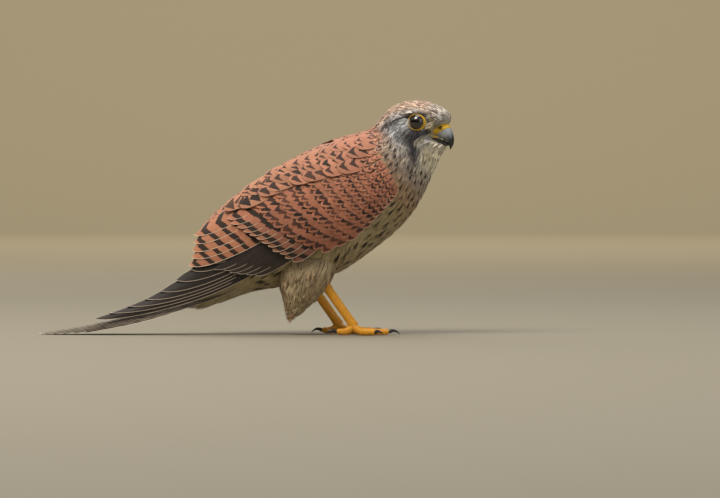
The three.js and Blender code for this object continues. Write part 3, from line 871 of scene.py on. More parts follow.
@dataclass(frozen=True)
class FeatherFinish:
    """Keratin vane: matt, with a soft sheen and fine barbs that slant from the shaft to the edge.

    Args:
        name: The material's name.
        mark: The dark mark.
        dark: The mark's colour.
        fringe: The colour of the thin edge.
        fringe_width: Its width in millimetres.
        pitch: From bar to bar in millimetres.
        duty: The share of the pitch that a bar fills.
        barb: From barb to barb in millimetres. The real 0.3 is drawn coarser so that it shows.
        roughness: Roughness of the vane.
    """

    name: str
    mark: Mark
    dark: str = "#3a2c28"
    fringe: str = "#e3cdb2"
    fringe_width: float = 0.7
    pitch: float = 13.0
    duty: float = 0.4
    barb: float = 0.9
    roughness: float = 0.74

    def steps(self) -> tuple[tuple[Any, ...], ...]:
        """The mark's recipe.

        Returns:
            For each step its name, what is done, and with which numbers or earlier steps.
        """
        if self.mark is Mark.ARROW:
            return (
                ("first", "SUBTRACT", "back", 1.3),
                ("behind", "FLOORED_MODULO", "first", self.pitch),
                ("slant", "MULTIPLY", "behind", 0.78),
                ("over", "SUBTRACT", "wide", "slant"),
                ("inside", "SOFT_STEP", "over", 0.25, -0.25),
                ("notch", "MULTIPLY_ADD", "wide", -0.45, "behind"),
                ("past", "SUBTRACT", "notch", "size"),
                ("ends", "SOFT_STEP", "past", 0.4, -0.4),
                ("mask", "MULTIPLY", "inside", "ends"),
            )
        if self.mark is Mark.BARS:
            return (
                ("chevron", "MULTIPLY_ADD", "wide", -0.6, "back"),
                ("first", "SUBTRACT", "chevron", "size"),
                ("pitch", "MULTIPLY_ADD", "phase", 0.35 * self.pitch, 0.83 * self.pitch),
                ("turns", "DIVIDE", "first", "pitch"),
                ("part", "FRACT", "turns"),
                ("centred", "SUBTRACT", "part", self.duty / 2),
                ("apart", "ABSOLUTE", "centred"),
                ("bar", "SOFT_STEP", "apart", self.duty / 2 + 0.03, self.duty / 2 - 0.03),
                ("begun", "SOFT_STEP", "first", -0.2, 0.3),
                ("mask", "MULTIPLY", "bar", "begun"),
            )
        if self.mark is Mark.DROP:
            return (
                ("behind", "SUBTRACT", "back", 0.6),
                ("share", "DIVIDE", "behind", "size"),
                ("nose", "MULTIPLY", "share", 3.2),
                ("stern", "SUBTRACT", 1.25, "share"),
                ("body", "MINIMUM", "nose", "stern"),
                ("shaft", "MAXIMUM", "body", 0.14),
                ("reach", "MULTIPLY", "shaft", "size"),
                ("half", "MULTIPLY", "reach", 0.155),
                ("over", "SUBTRACT", "wide", "half"),
                ("inside", "SOFT_STEP", "over", 0.15, -0.2),
                ("begun", "SOFT_STEP", "behind", -0.1, 0.5),
                ("mask", "MULTIPLY", "inside", "begun"),
            )
        return (("mask", "SOFT_STEP", "wide", "size", 0.0),)

    def mask(self, tree: Any, known: dict[str, Any]) -> Any:
        """The dark mark's mask.

        Args:
            tree: The node tree.
            known: The outputs wide and back, the distances from shaft and tip in millimetres, size,
                the mark's size, and phase, the feather's own random value.

        Returns:
            The node whose output is the mask.
        """
        for name, operation, *inputs in self.steps():
            values = [known.get(value, value) for value in inputs]
            if operation == "SOFT_STEP":
                links = dict(zip(("Value", "From Min", "From Max"), values))
                known[name] = add_node(tree, "MapRange", links, **SOFT_STEP)
            else:
                known[name] = add_node(tree, "Math", dict(enumerate(values)), operation=operation)
        return known["mask"]

    def make(self) -> Material:
        """Builds the material.

        Returns:
            The material.
        """
        material, tree = new_material(self.name)
        vane = add_node(tree, "UVMap", uv_map="Vane")
        place = add_node(tree, "SeparateXYZ", {0: vane})
        at = add_node(tree, "TexCoord")
        # single barbs, about 1.1 mm apart, end unevenly and make the marks' edges ragged
        ragged = add_node(tree, "TexNoise", {"Vector": at.outputs["Object"], "Scale": 900.0})
        wobble = add_node(tree, "MapRange", {
            "Value": ragged.outputs["Fac"], "From Min": 0.3, "From Max": 0.7, "To Min": -0.35,
            "To Max": 0.35,
        })
        x = add_node(tree, "Math", {0: place.outputs["X"], 1: 100.0}, operation="MULTIPLY")
        wide = add_node(tree, "Math", {0: x}, operation="ABSOLUTE")
        back = add_node(
            tree, "Math", {0: place.outputs["Y"], 1: 100.0, 2: wobble}, operation="MULTIPLY_ADD"
        )
        plumage = add_node(tree, "Attribute", attribute_name="plumage")
        marks = add_node(tree, "Attribute", attribute_name="marks")
        parts = add_node(tree, "SeparateColor", {0: marks.outputs["Color"]})
        strength, fringe, size = (parts.outputs[i] for i in range(3))

        slant = add_node(tree, "Math", {0: wide, 1: 0.8, 2: back}, operation="MULTIPLY_ADD")
        turns = add_node(tree, "Math", {0: slant, 1: 2 * math.pi / self.barb}, operation="MULTIPLY")
        barbs = add_node(tree, "Math", {0: turns}, operation="SINE")
        # worn and bleached spots, about 4 mm wide
        patchy = add_node(tree, "TexNoise", {"Vector": at.outputs["Object"], "Scale": 260.0, "Detail": 4.0})
        tone = add_node(tree, "MapRange", {
            "Value": patchy.outputs["Fac"], "From Min": 0.25, "From Max": 0.75, "To Min": 0.86,
            "To Max": 1.12,
        })
        shade = add_node(tree, "Math", {0: barbs, 1: 0.05, 2: tone}, operation="MULTIPLY_ADD")
        colour = add_node(
            tree, "VectorMath", {0: plumage.outputs["Color"], "Scale": shade}, operation="SCALE"
        )
        if self.mark is not Mark.NONE:
            known = {"wide": wide, "back": back, "size": size, "phase": marks.outputs["Alpha"]}
            mask = self.mask(tree, known)
            shown = add_node(tree, "Math", {0: mask, 1: strength}, operation="MULTIPLY")
            colour = add_node(
                tree, "Mix", {0: shown, 6: colour, 7: rgba(self.dark)}, **OF_COLOURS
            ).outputs[2]
        edge = add_node(tree, "Attribute", attribute_name="edge")
        rim = add_node(tree, "MapRange", {
            "Value": edge.outputs["Fac"], "From Min": self.fringe_width,
            "From Max": self.fringe_width * 0.45,
        }, **SOFT_STEP)
        pale = add_node(tree, "Math", {0: rim, 1: fringe}, operation="MULTIPLY")
        colour = add_node(tree, "Mix", {0: pale, 6: colour, 7: rgba(self.fringe)}, **OF_COLOURS).outputs[2]
        bump = add_node(tree, "Bump", {"Strength": 0.35, "Distance": 0.0002, "Height": shade})
        shader = add_node(tree, "BsdfPrincipled", {
            "Base Color": colour, "Roughness": self.roughness, "Specular IOR Level": 0.28,
            "Sheen Weight": 0.12, "Normal": bump,
        })
        add_node(tree, "OutputMaterial", {"Surface": shader})
        return material


@dataclass(frozen=True)
class SkinFinish:
    """Dry skin with down under the coat: dull and mottled, in the colour of the feathers there."""

    name: str = "feathered_skin"

    def make(self) -> Material:
        """Builds the material.

        Returns:
            The material.
        """
        material, tree = new_material(self.name)
        plumage = add_node(tree, "Attribute", attribute_name="plumage")
        at = add_node(tree, "TexCoord")
        # tufts of down, about 1.4 mm wide
        down = add_node(tree, "TexNoise", {"Vector": at.outputs["Object"], "Scale": 700.0, "Detail": 3.0})
        tone = add_node(tree, "MapRange", {
            "Value": down.outputs["Fac"], "From Min": 0.3, "From Max": 0.7, "To Min": 0.7, "To Max": 1.0,
        })
        colour = add_node(
            tree, "VectorMath", {0: plumage.outputs["Color"], "Scale": tone}, operation="SCALE"
        )
        bump = add_node(tree, "Bump", {"Strength": 0.5, "Distance": 0.0004, "Height": down.outputs["Fac"]})
        shader = add_node(tree, "BsdfPrincipled", {"Base Color": colour, "Roughness": 0.9, "Normal": bump})
        add_node(tree, "OutputMaterial", {"Surface": shader})
        return material


@dataclass(frozen=True)
class HornFinish:
    """Keratin sheath of the bill or a claw, grown in layers and worn smooth.

    It gives the eye a soft polish, faint streaks along the growth and a darker tip.

    Args:
        name: The material's name.
        base: Colour at its base.
        tip: Colour at its tip.
        start: Share of the length where the tip's colour begins.
        roughness: Roughness of the surface.
    """

    name: str
    base: str
    tip: str
    start: float = 0.35
    roughness: float = 0.34

    def make(self) -> Material:
        """Builds the material. The attribute reach runs from 0 at the base to 1 at the tip.

        Returns:
            The material.
        """
        material, tree = new_material(self.name)
        reach = add_node(tree, "Attribute", attribute_name="reach")
        at = add_node(tree, "TexCoord")
        # layers of growth, about 2.4 mm apart
        streak = add_node(tree, "TexNoise", {"Vector": at.outputs["Object"], "Scale": 420.0, "Detail": 5.0})
        moved = add_node(tree, "Math", {
            0: streak.outputs["Fac"], 1: 0.3, 2: reach.outputs["Fac"],
        }, operation="MULTIPLY_ADD")
        share = add_node(tree, "MapRange", {
            "Value": moved, "From Min": self.start + 0.1, "From Max": self.start + 0.55,
        }, **SOFT_STEP)
        colour = add_node(
            tree, "Mix", {0: share, 6: rgba(self.base), 7: rgba(self.tip)}, **OF_COLOURS
        ).outputs[2]
        bump = add_node(
            tree, "Bump", {"Strength": 0.25, "Distance": 0.0002, "Height": streak.outputs["Fac"]}
        )
        shader = add_node(tree, "BsdfPrincipled", {
            "Base Color": colour, "Roughness": self.roughness, "Coat Weight": 0.35, "Coat Roughness": 0.2,
            "Normal": bump,
        })
        add_node(tree, "OutputMaterial", {"Surface": shader})
        return material


@dataclass(frozen=True)
class BareSkinFinish:
    """Bare yellow skin of the cere, lids and feet: waxy and a little translucent, with small scales.

    Args:
        name: The material's name.
        colour: Its colour.
        deep: Its colour in the painted shade of the furrows, in the blotches and where the attribute reach
            darkens it.
        grain: Size of a scale in millimetres.
        relief: Height of a scale in millimetres.
        roughness: Roughness of the surface.
        furrow_shade_and_wear: How strongly the painted shade in the furrows and the blotches darken it.
    """

    name: str
    colour: str
    deep: str
    grain: float = 1.2
    relief: float = 0.25
    roughness: float = 0.42
    furrow_shade_and_wear: float = 0.6

    def make(self) -> Material:
        """Builds the material. The attribute reach darkens it from 0, as it is, to 1, deep; inside the
        cere's nostrils and on the lids' crease and inner rim that darkening is painted shade.

        Returns:
            The material.
        """
        material, tree = new_material(self.name)
        at = add_node(tree, "TexCoord")
        scales = add_node(tree, "TexVoronoi", {
            "Vector": at.outputs["Object"], "Scale": 1 / (self.grain * MM),
        }, feature="DISTANCE_TO_EDGE")
        # painted shade in the furrows between the scales
        furrow_shade = add_node(tree, "MapRange", {
            "Value": scales, "From Min": 0.12, "From Max": 0.0, "To Max": self.furrow_shade_and_wear,
        }, **SOFT_STEP)
        # worn patches, about 4 mm wide
        blotch = add_node(tree, "TexNoise", {"Vector": at.outputs["Object"], "Scale": 240.0, "Detail": 3.0})
        patches = add_node(tree, "MapRange", {
            "Value": blotch.outputs["Fac"], "From Min": 0.35, "From Max": 0.75, "To Max": 0.6 * self.furrow_shade_and_wear,
        })
        shade_and_wear = add_node(tree, "Math", {0: furrow_shade, 1: patches}, operation="MAXIMUM")
        reach = add_node(tree, "Attribute", attribute_name="reach")
        deep = add_node(tree, "Math", {0: shade_and_wear, 1: reach.outputs["Fac"]}, operation="MAXIMUM")
        colour = add_node(
            tree, "Mix", {0: deep, 6: rgba(self.colour), 7: rgba(self.deep)}, **OF_COLOURS
        ).outputs[2]
        flat = add_node(tree, "MapRange", {"Value": scales, "From Max": 0.2}, **SOFT_STEP)
        bump = add_node(tree, "Bump", {"Strength": 0.8, "Distance": self.relief * MM, "Height": flat})
        shader = add_node(tree, "BsdfPrincipled", {
            "Base Color": colour, "Roughness": self.roughness, "Subsurface Weight": 0.12,
            "Subsurface Radius": (0.002, 0.001, 0.0005), "Coat Weight": 0.15, "Coat Roughness": 0.35,
            "Normal": bump,
        })
        add_node(tree, "OutputMaterial", {"Surface": shader})
        return material


@dataclass(frozen=True)
class EyeFinish:
    """Wet eye: a black pupil in a very dark brown iris, with a sharp highlight on its clear cornea."""

    name: str = "wet_eye"
    pupil: str = "#050506"
    iris: str = "#23150d"

    def make(self) -> Material:
        """Builds the material. The attribute gaze is the angle from the eye's axis in radians.

        Returns:
            The material.
        """
        material, tree = new_material(self.name)
        gaze = add_node(tree, "Attribute", attribute_name="gaze")
        inner = add_node(tree, "MapRange", {
            "Value": gaze.outputs["Fac"], "From Min": 0.48, "From Max": 0.56,
        }, **SOFT_STEP)
        outer = add_node(
            tree, "MapRange", {"Value": gaze.outputs["Fac"], "From Min": 1.0, "From Max": 0.85}, **SOFT_STEP
        )
        share = add_node(tree, "Math", {0: inner, 1: outer}, operation="MULTIPLY")
        colour = add_node(
            tree, "Mix", {0: share, 6: rgba(self.pupil), 7: rgba(self.iris)}, **OF_COLOURS
        ).outputs[2]
        shader = add_node(tree, "BsdfPrincipled", {
            "Base Color": colour, "Roughness": 0.08, "Coat Weight": 1.0, "Coat Roughness": 0.02,
        })
        add_node(tree, "OutputMaterial", {"Surface": shader})
        return material


@dataclass(frozen=True)
class StudioFinish:
    """Studio floor with rolled matt paint, which gives the eye one even tone and no highlight."""

    name: str = "studio_floor"
    colour: str = "#8b8575"

    def make(self) -> Material:
        """Builds the material.

        Returns:
            The material.
        """
        material, tree = new_material(self.name)
        shader = add_node(tree, "BsdfPrincipled", {"Base Color": rgba(self.colour), "Roughness": 0.85})
        add_node(tree, "OutputMaterial", {"Surface": shader})
        return material


# Solid pieces


def loft(rings: Sequence[Array], closed: bool = True) -> bmesh.types.BMesh:
    """A skin through rings of points.

    Args:
        rings: The rings, each with the same number of points.
        closed: Whether the two ends are filled.

    Returns:
        The new bmesh, with its faces pointing out.
    """
    bm = bmesh.new()
    before: list[bmesh.types.BMEdge] = []
    for ring in rings:
        made = bmesh.ops.create_circle(bm, cap_ends=False, radius=1.0, segments=len(ring))["verts"]
        for vert, place in zip(made, ring):
            vert.co = Vector(place.tolist())
        edges = list({edge for vert in made for edge in vert.link_edges})
        if before:
            bmesh.ops.bridge_loops(bm, edges=before + edges)
        before = edges
    if closed:
        bmesh.ops.holes_fill(bm, edges=[e for e in bm.edges if e.is_boundary], sides=0)
    bmesh.ops.recalc_face_normals(bm, faces=bm.faces[:])
    return bm


@dataclass
class Workshop:
    """Turns shapes in millimetres into pieces of the model.

    Args:
        shift: From the bird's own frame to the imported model's, in millimetres.
    """

    shift: Array

    def piece(
        self, name: str, bm: bmesh.types.BMesh, material: Material, levels: int = 0
    ) -> Piece:
        """Makes a piece from a bmesh in millimetres.

        Args:
            name: The piece's name.
            bm: Its shape, which is freed.
            material: Its finish.
            levels: Levels of subdivision.

        Returns:
            The piece, at the origin, in metres.
        """
        for vert in bm.verts:
            vert.co = (vert.co + Vector(self.shift.tolist())) * MM
        mesh = bpy.data.meshes.new(name)
        bm.to_mesh(mesh)
        bm.free()
        mesh.shade_smooth()
        mesh.materials.append(material)
        made = bpy.data.objects.new(name, mesh)
        bpy.context.scene.collection.objects.link(made)
        if levels:
            finer = made.modifiers.new("finer", "SUBSURF")
            finer.levels = finer.render_levels = levels
        log.info("%s: %d faces", name, len(mesh.polygons))
        return made

    @staticmethod
    def join(whole: bmesh.types.BMesh, part: bmesh.types.BMesh) -> None:
        """Adds a part to a shape.

        Args:
            whole: The shape.
            part: The part, which is freed.
        """
        kept = bpy.data.meshes.new("part")
        part.to_mesh(kept)
        part.free()
        whole.from_mesh(kept)
        bpy.data.meshes.remove(kept)

    @staticmethod
    def attribute(piece: Piece, name: str, values: Array) -> None:
        """Gives each vertex of a piece a number."""
        layer = piece.data.attributes.new(name, "FLOAT", "POINT")
        layer.data.foreach_set("value", np.asarray(values, np.float32))

    def points(self, piece: Piece) -> Array:
        """The piece's vertices in the bird's own frame, in millimetres.

        Args:
            piece: The piece.

        Returns:
            The points.
        """
        found = np.zeros(len(piece.data.vertices) * 3, np.float32)
        piece.data.vertices.foreach_get("co", found)
        return found.reshape(-1, 3) / MM - self.shift


def limb_rings(path: Array, across: Array, high: Array, sides: int, up: Array | None = None) -> list[Array]:
    """Rings round a path.

    Args:
        path: The middle of each ring.
        across: Half width of each ring, sideways.
        high: Half height of each ring.
        sides: Points in a ring.
        up: The direction that counts as up, the world's if left out.

    Returns:
        One ring for each point of the path.
    """
    along = unit(np.gradient(path, axis=0))
    guide = np.array([0, 0, 1.0]) if up is None else up
    sideways = unit(np.cross(guide, along))
    upward = unit(np.cross(along, sideways))
    angle = np.linspace(0, 2 * math.pi, sides, endpoint=False)
    rings = []
    for i, middle in enumerate(path):
        width, height = np.asarray(across[i]), np.asarray(high[i])
        rings.append(
            middle
            + np.outer(np.cos(angle) * width, sideways[i])
            + np.outer(np.sin(angle) * height, upward[i])
        )
    return rings


# The coat of small feathers


@dataclass(frozen=True)
class Patch:
    """A patch of colour on the head, drawn in side view along a line.

    Args:
        line: Its line as x and z before the head's turn.
        radius: Half its width.
        soft: Half the width of its edge.
        colour: Its colour.
        strength: How strongly it shows.
    """

    line: tuple[tuple[float, float], ...]
    radius: float
    soft: float
    colour: str
    strength: float = 1.0

    def mask(self, x: Array, z: Array) -> Array:
        """How strongly the patch shows at places.

        Args:
            x: How far ahead, in millimetres.
            z: How high, in millimetres.

        Returns:
            From 0 to the patch's strength.
        """
        nearest = np.full(np.shape(x), 1e9)
        line = np.array(self.line, float)
        for start, end in zip(line[:-1], line[1:]):
            run = end - start
            t = np.clip(((x - start[0]) * run[0] + (z - start[1]) * run[1]) / (run @ run), 0, 1)
            nearest = np.minimum(nearest, np.hypot(x - start[0] - run[0] * t, z - start[1] - run[1] * t))
        return self.strength * smooth(self.radius + self.soft, self.radius - self.soft, nearest)


@dataclass
class Eye:
    """Place and size of an eye, before the head's turn."""

    x: float = 57.9
    y: float = 13.0
    z: float = 155.4
    radius: float = 6.2
    lid: float = 5.6
    lid_y: float = 16.4
    forward: float = 0.25


@dataclass
class Coat:
    """The small feathers of head, neck and body."""

    body: Body
    wing: WingSide
    eye: Eye
    plumage: Plumage
    # station, length on back and belly, half width on back and belly, spacing on back and belly, depth
    rows: Table = Table(
        (
            (0, 20, 22, 4.5, 2.6, 6.0, 3.4, 1.6),
            (1, 22, 24, 5.0, 2.8, 6.5, 3.5, 1.9),
            (2, 21, 22, 5.0, 3.0, 6.5, 3.5, 2.2),
            (3, 19, 19, 5.0, 3.0, 6.5, 3.5, 2.4),
            (4, 18, 18, 5.0, 3.1, 6.5, 3.5, 2.4),
            (5, 18, 18, 5.0, 3.1, 6.5, 3.5, 2.4),
            (6, 18, 18, 5.0, 3.1, 6.2, 3.4, 2.4),
            (7, 17, 17, 4.8, 3.0, 5.8, 3.3, 2.4),
            (8, 14, 15.5, 4.2, 2.8, 5.0, 3.1, 2.2),
            (9, 10.5, 13, 2.8, 2.4, 3.6, 2.8, 1.9),
            (10, 8.0, 10.5, 1.6, 1.8, 2.2, 2.3, 1.6),
            (11, 6.6, 8.4, 1.2, 1.4, 1.9, 2.0, 1.3),
            (12, 5.6, 6.8, 0.95, 1.1, 1.55, 1.75, 1.1),
            (13, 4.9, 5.6, 0.8, 0.95, 1.4, 1.6, 0.9),
            (14, 4.4, 4.6, 0.7, 0.8, 1.25, 1.4, 0.8),
            (15, 3.7, 3.7, 0.6, 0.68, 1.1, 1.2, 0.7),
            (16, 3.0, 3.0, 0.5, 0.55, 0.95, 1.05, 0.55),
            (17, 2.4, 2.3, 0.42, 0.46, 0.85, 0.9, 0.45),
            (18, 2.0, 1.8, 0.38, 0.4, 0.8, 0.85, 0.35),
        )
    )
    patches: tuple[Patch, ...] = (
        Patch(((20, 160), (28, 164), (40, 170), (56, 171), (68, 167)), 6.5, 3.0, "#c8ab96"),
        Patch(((20, 156), (27, 148), (33, 139)), 6.0, 4.0, "#a99180", 0.8),
        Patch(((70, 166), (77, 162), (79, 158)), 4.0, 3.0, "#d3cabb", 0.85),
        Patch(((49, 155.5), (43, 152.5)), 3.2, 2.2, "#bcc1c6", 0.95),
        Patch(((50, 141), (43, 139), (38, 134)), 2.2, 2.0, "#d6ccbf", 0.7),
        Patch(((70, 156), (68, 150)), 3.2, 2.5, "#b3a585", 0.9),
        Patch(((76, 139), (72, 134), (63, 126), (56, 116)), 8.5, 3.0, "#efe6cf"),
        Patch(((72, 164), (62, 164.2), (54, 163.4), (46, 161.4), (36, 158.5)), 0.8, 0.8, "#d6cbbd", 0.5),
        # dark line over and behind the eye, with painted shadow under the brow ridge along the eye's upper
        # rim
        Patch(
            ((66.5, 160), (62, 161.2), (56, 161.2), (46, 159), (40.5, 157), (28, 154)),
            1.15, 0.8, "#3a3534", 0.95,
        ),
        Patch(((65.5, 149), (61, 147.4), (54.5, 147.2)), 2.0, 1.4, "#34343a", 0.97),
        Patch(((58, 146.5), (55.5, 141), (53, 135), (51.5, 128.5)), 3.5, 2.4, "#34353c", 0.92),
        Patch(((68.5, 146.6), (65, 145.2), (61, 142.5)), 1.3, 0.8, "#ddd6bd", 0.95),
        Patch(((53, 149.5), (47.5, 145)), 3.0, 2.6, "#5a5a60", 0.6),
    )
    throat: int = 6  # the patch without streaks
    under_wing: tuple[float, float] = (5.0, 105.0)  # from and to along the wing
    bare_share: float = 0.2  # how bare the face may be where a feather grows
    back: str = "#b9826a"
    hind_neck: str = "#b3937d"
    neck_sides: tuple[str, str] = ("#8f8179", "#c0b09a")
    under: tuple[str, str, str] = ("#a89a78", "#ab9a74", "#b28f6c")  # vent, belly, breast
    cheek: str = "#aeaeb0"
    saddle_colours: tuple[str, str] = ("#b0765c", "#ba8366")

    def value(self, p: Array, q: Array, column: int) -> Array:
        """A value of the rows, between the back's and the belly's."""
        share = smooth(0.9, 1.9, np.abs(q))
        return mix(self.rows.at(p, column), self.rows.at(p, column + 1), share)

    def colour(self, p: Array, q: Array, rng: np.random.Generator) -> Array:
        """The colour of the coat, with each feather a little different.

        Args:
            p: First parameter of each place.
            q: Second parameter of each place.
            rng: Source of the random differences.

        Returns:
            A linear colour for each feather.
        """
        place, _ = self.body.section(p, q)
        x, z = place[:, 0], place[:, 2]
        wide = np.abs(q)
        vent, cream, buff = (linear(code) for code in self.under)
        rufous = linear(self.back)
        under = mix(vent, cream, smooth(1.5, 4, p)[:, None])
        under = mix(under, buff, smooth(7.5, 9.5, p)[:, None])
        torso = mix(rufous, under, smooth(1.0, 1.35, wide)[:, None])
        dark_side, pale_side = (linear(code) for code in self.neck_sides)
        neck_side = mix(dark_side, pale_side, rng.random(len(p))[:, None])
        neck = mix(rufous, linear(self.hind_neck), smooth(9.6, 11, p)[:, None])
        neck = mix(neck, neck_side, smooth(0.7, 1.3, wide)[:, None])
        colour = mix(torso, neck, smooth(8.7, 9.9, p)[:, None])
        grey = smooth(10.0, 11.6, p) * smooth(118, 132, z)
        colour = mix(colour, linear(self.cheek), grey[:, None])
        head = smooth(9.6, 11.2, p)
        for patch in self.patches:
            colour = mix(colour, linear(patch.colour), (patch.mask(x, z) * head)[:, None])
        depth = mix(0.07, 0.3, smooth(9, 11.5, p))
        tone = 1 + depth * rng.standard_normal(len(p))
        return colour * np.clip(tone, 0.45, 1.5)[:, None]

    def open_place(self, p: Array, q: Array, points: Array) -> Array:
        """Whether a place of the body isn't covered by a wing or an eye.

        Args:
            p: First parameter of each place.
            q: Second parameter of each place.
            points: The points in millimetres.

        Returns:
            True where a feather may grow.
        """
        side = np.where(points[:, 1:2] * self.wing.hand > 0, points, points * np.array([1, -1, 1]))
        u, h = self.wing.place(side)
        low, high = self.wing.rows.at(u, 4), self.wing.rows.at(u, 5)
        covered = (u > self.under_wing[0]) & (u < self.under_wing[1]) & (h > low + 7) & (h < high - 2)
        ridge, half_height, half = (self.wing.rows.at(u, c) for c in (1, 2, 3))
        rise = np.clip((high - ridge + half_height) / half_height, -1, 1)
        covered &= (p < 9.6) & (np.abs(points[:, 1]) > half * np.sqrt(1 - rise**2) + 2)
        place, _ = self.body.section(p, q)
        from_eye = np.hypot((place[:, 0] - self.eye.x - 0.8) / 7.7, (place[:, 2] - self.eye.z) / 6.5)
        feathered = self.body.bare(place[:, 0], place[:, 2]) < self.bare_share
        return ~covered & (((from_eye > 1) & feathered) | (p < 12))

    def heading(self, p: Array, q: Array) -> Array:
        """How far the lie turns aside: round the eye, and down the sides of the face.

        Args:
            p: First parameter of each place.
            q: Second parameter of each place.

        Returns:
            The turn in radians.
        """
        place, _ = self.body.section(p, q)
        dx, dz = place[:, 0] - self.eye.x, place[:, 2] - self.eye.z
        away = np.hypot(dx, dz)
        near = np.exp(-np.maximum(away - 6.2, 0) / 3.5) * smooth(12, 13, p)
        turn = near * np.where(dx > -2, -np.sign(dz + 0.01), 0) * np.sign(q)
        down = 0.35 * smooth(13.5, 16, p) * smooth(0.8, 1.6, np.abs(q)) * np.sign(q)
        return turn + down

    @staticmethod
    def between_wings(p: Array, q: Array) -> Array:
        """How far the back's feathers stand up to close the room between the wings, in millimetres."""
        return smooth(9.5, 7.5, p) * smooth(1.5, 2.5, p) * smooth(1.1, 0.8, np.abs(q))

    def plumes(self, roots: Array, marks: Array, seed: int, **more: Any) -> Plumes:
        """Feathers at roots of the body, with sizes from the rows.

        Args:
            roots: Station and angle of each root.
            marks: The marks of each feather.
            seed: Seed of their differences.
            **more: Factors on length and half, and what is added to the rise.

        Returns:
            The feathers.
        """
        rng = np.random.default_rng(seed)
        p, q = roots.T
        count = len(p)
        depth = self.rows.at(p, 7)
        length = self.value(p, q, 1) * more.get("length", 1.0) * rng.uniform(0.85, 1.15, count)
        place, _ = self.body.section(p, q)
        dx, dz = place[:, 0] - self.eye.x, place[:, 2] - self.eye.z
        room = np.hypot(dx, dz) - 7.0 + 8 * smooth(6.0, 8.0, np.abs(dz)) + 8 * smooth(1.0, -3.0, dx)
        length = np.where(p > 12, np.minimum(length, np.maximum(1.2, room)), length)
        flank = smooth(1.3, 1.6, np.abs(q)) * smooth(2.6, 2.2, np.abs(q))
        hang = smooth(3.6, 4.4, p) * smooth(7.2, 6.2, p) * flank
        length = length * (1 + 0.5 * hang) * (1 - smooth(1.6, 0.4, p) * rng.uniform(0.0, 0.6, count))
        loose = 1.6 * smooth(2.8, 2.0, p) * smooth(1.4, 2.2, np.abs(q)) * rng.random(count)
        half = self.value(p, q, 3) * more.get("half", 1.0) * rng.uniform(0.88, 1.12, count)
        colour = self.colour(p, q, rng)
        rise = depth * 0.12 * rng.random(count) + more.get("rise", 0.0) + 2.2 * hang + loose
        rise = rise + self.between_wings(p, q)
        heading = self.heading(p, q) + 0.5 * hang * np.sign(q) + 0.09 * rng.standard_normal(count)
        roll = 0.12 * depth * rng.standard_normal(count)
        return Plumes(roots, length, half, colour, marks, depth, rise, heading, roll, 0.16 * depth)

    def roots(
        self, stations: tuple[float, float], angles: tuple[float, float], factor: float, tries: int,
        seed: int,
    ) -> Array:
        """Even roots on both sides of the body.

        Args:
            stations: First and last station.
            angles: Smallest and largest angle from the back's midline.
            factor: Factor on the rows' spacing.
            tries: How many places are tried.
            seed: Seed of the draw.

        Returns:
            Station and angle of each root.
        """
        return scatter(
            self.body,
            (stations[0], -math.pi),
            (stations[1], math.pi),
            lambda p, q: self.value(p, q, 5) * factor,
            lambda p, q, at: (np.abs(q) >= angles[0]) & (np.abs(q) < angles[1]) & self.open_place(p, q, at),
            tries,
            seed,
        )

    @staticmethod
    def marks(count: int, strength: float, size: float, seed: int, fringe: float = 0.0) -> Array:
        """The marks of feathers, each a little different.

        Args:
            count: How many feathers.
            strength: Strength of the dark mark.
            size: Its size in millimetres.
            seed: Seed of the draw.
            fringe: Strength of the pale fringe.

        Returns:
            Strength, fringe, size and phase of each feather's mark.
        """
        rng = np.random.default_rng(seed)
        return zipped(
            strength * rng.uniform(0.75, 1.0, count),
            fringe * rng.uniform(0.6, 1.0, count),
            size * rng.uniform(0.75, 1.25, count),
            rng.random(count),
        )

    def build(self, finishes: dict[str, Material]) -> list[Piece]:
        """Makes the pieces of the coat.

        Args:
            finishes: The feather finishes by name.

        Returns:
            The pieces.
        """
        slim = Vane(SLIM, thick=0.1)
        tuft = Vane(SLIM, rings=4, strands=3, thick=0.12, fray=0.3, spread=0.35)
        loose = Vane(SOFT, rings=5, strands=5, thick=0.12, fray=0.22, spread=0.4)
        whole, under = (0, 4), (1.15, 4)
        made = []

        def add(
            name: str, finish: str, roots: Array, marks: Array, vane: Vane, seed: int, **more: Any
        ) -> None:
            """Makes a piece.

            Args:
                name: What follows coat_ in its name.
                finish: Its finish.
                roots: The roots of its feathers.
                marks: Their marks.
                vane: Their form.
                seed: Seed of their differences.
                **more: Factors on length and half, and what is added to the rise.
            """
            plumes = self.plumes(roots, marks, seed, **more)
            piece = self.plumage.grow("coat_" + name, self.body, plumes, vane, seed=seed)
            piece.data.materials.append(finishes[finish])
            made.append(piece)

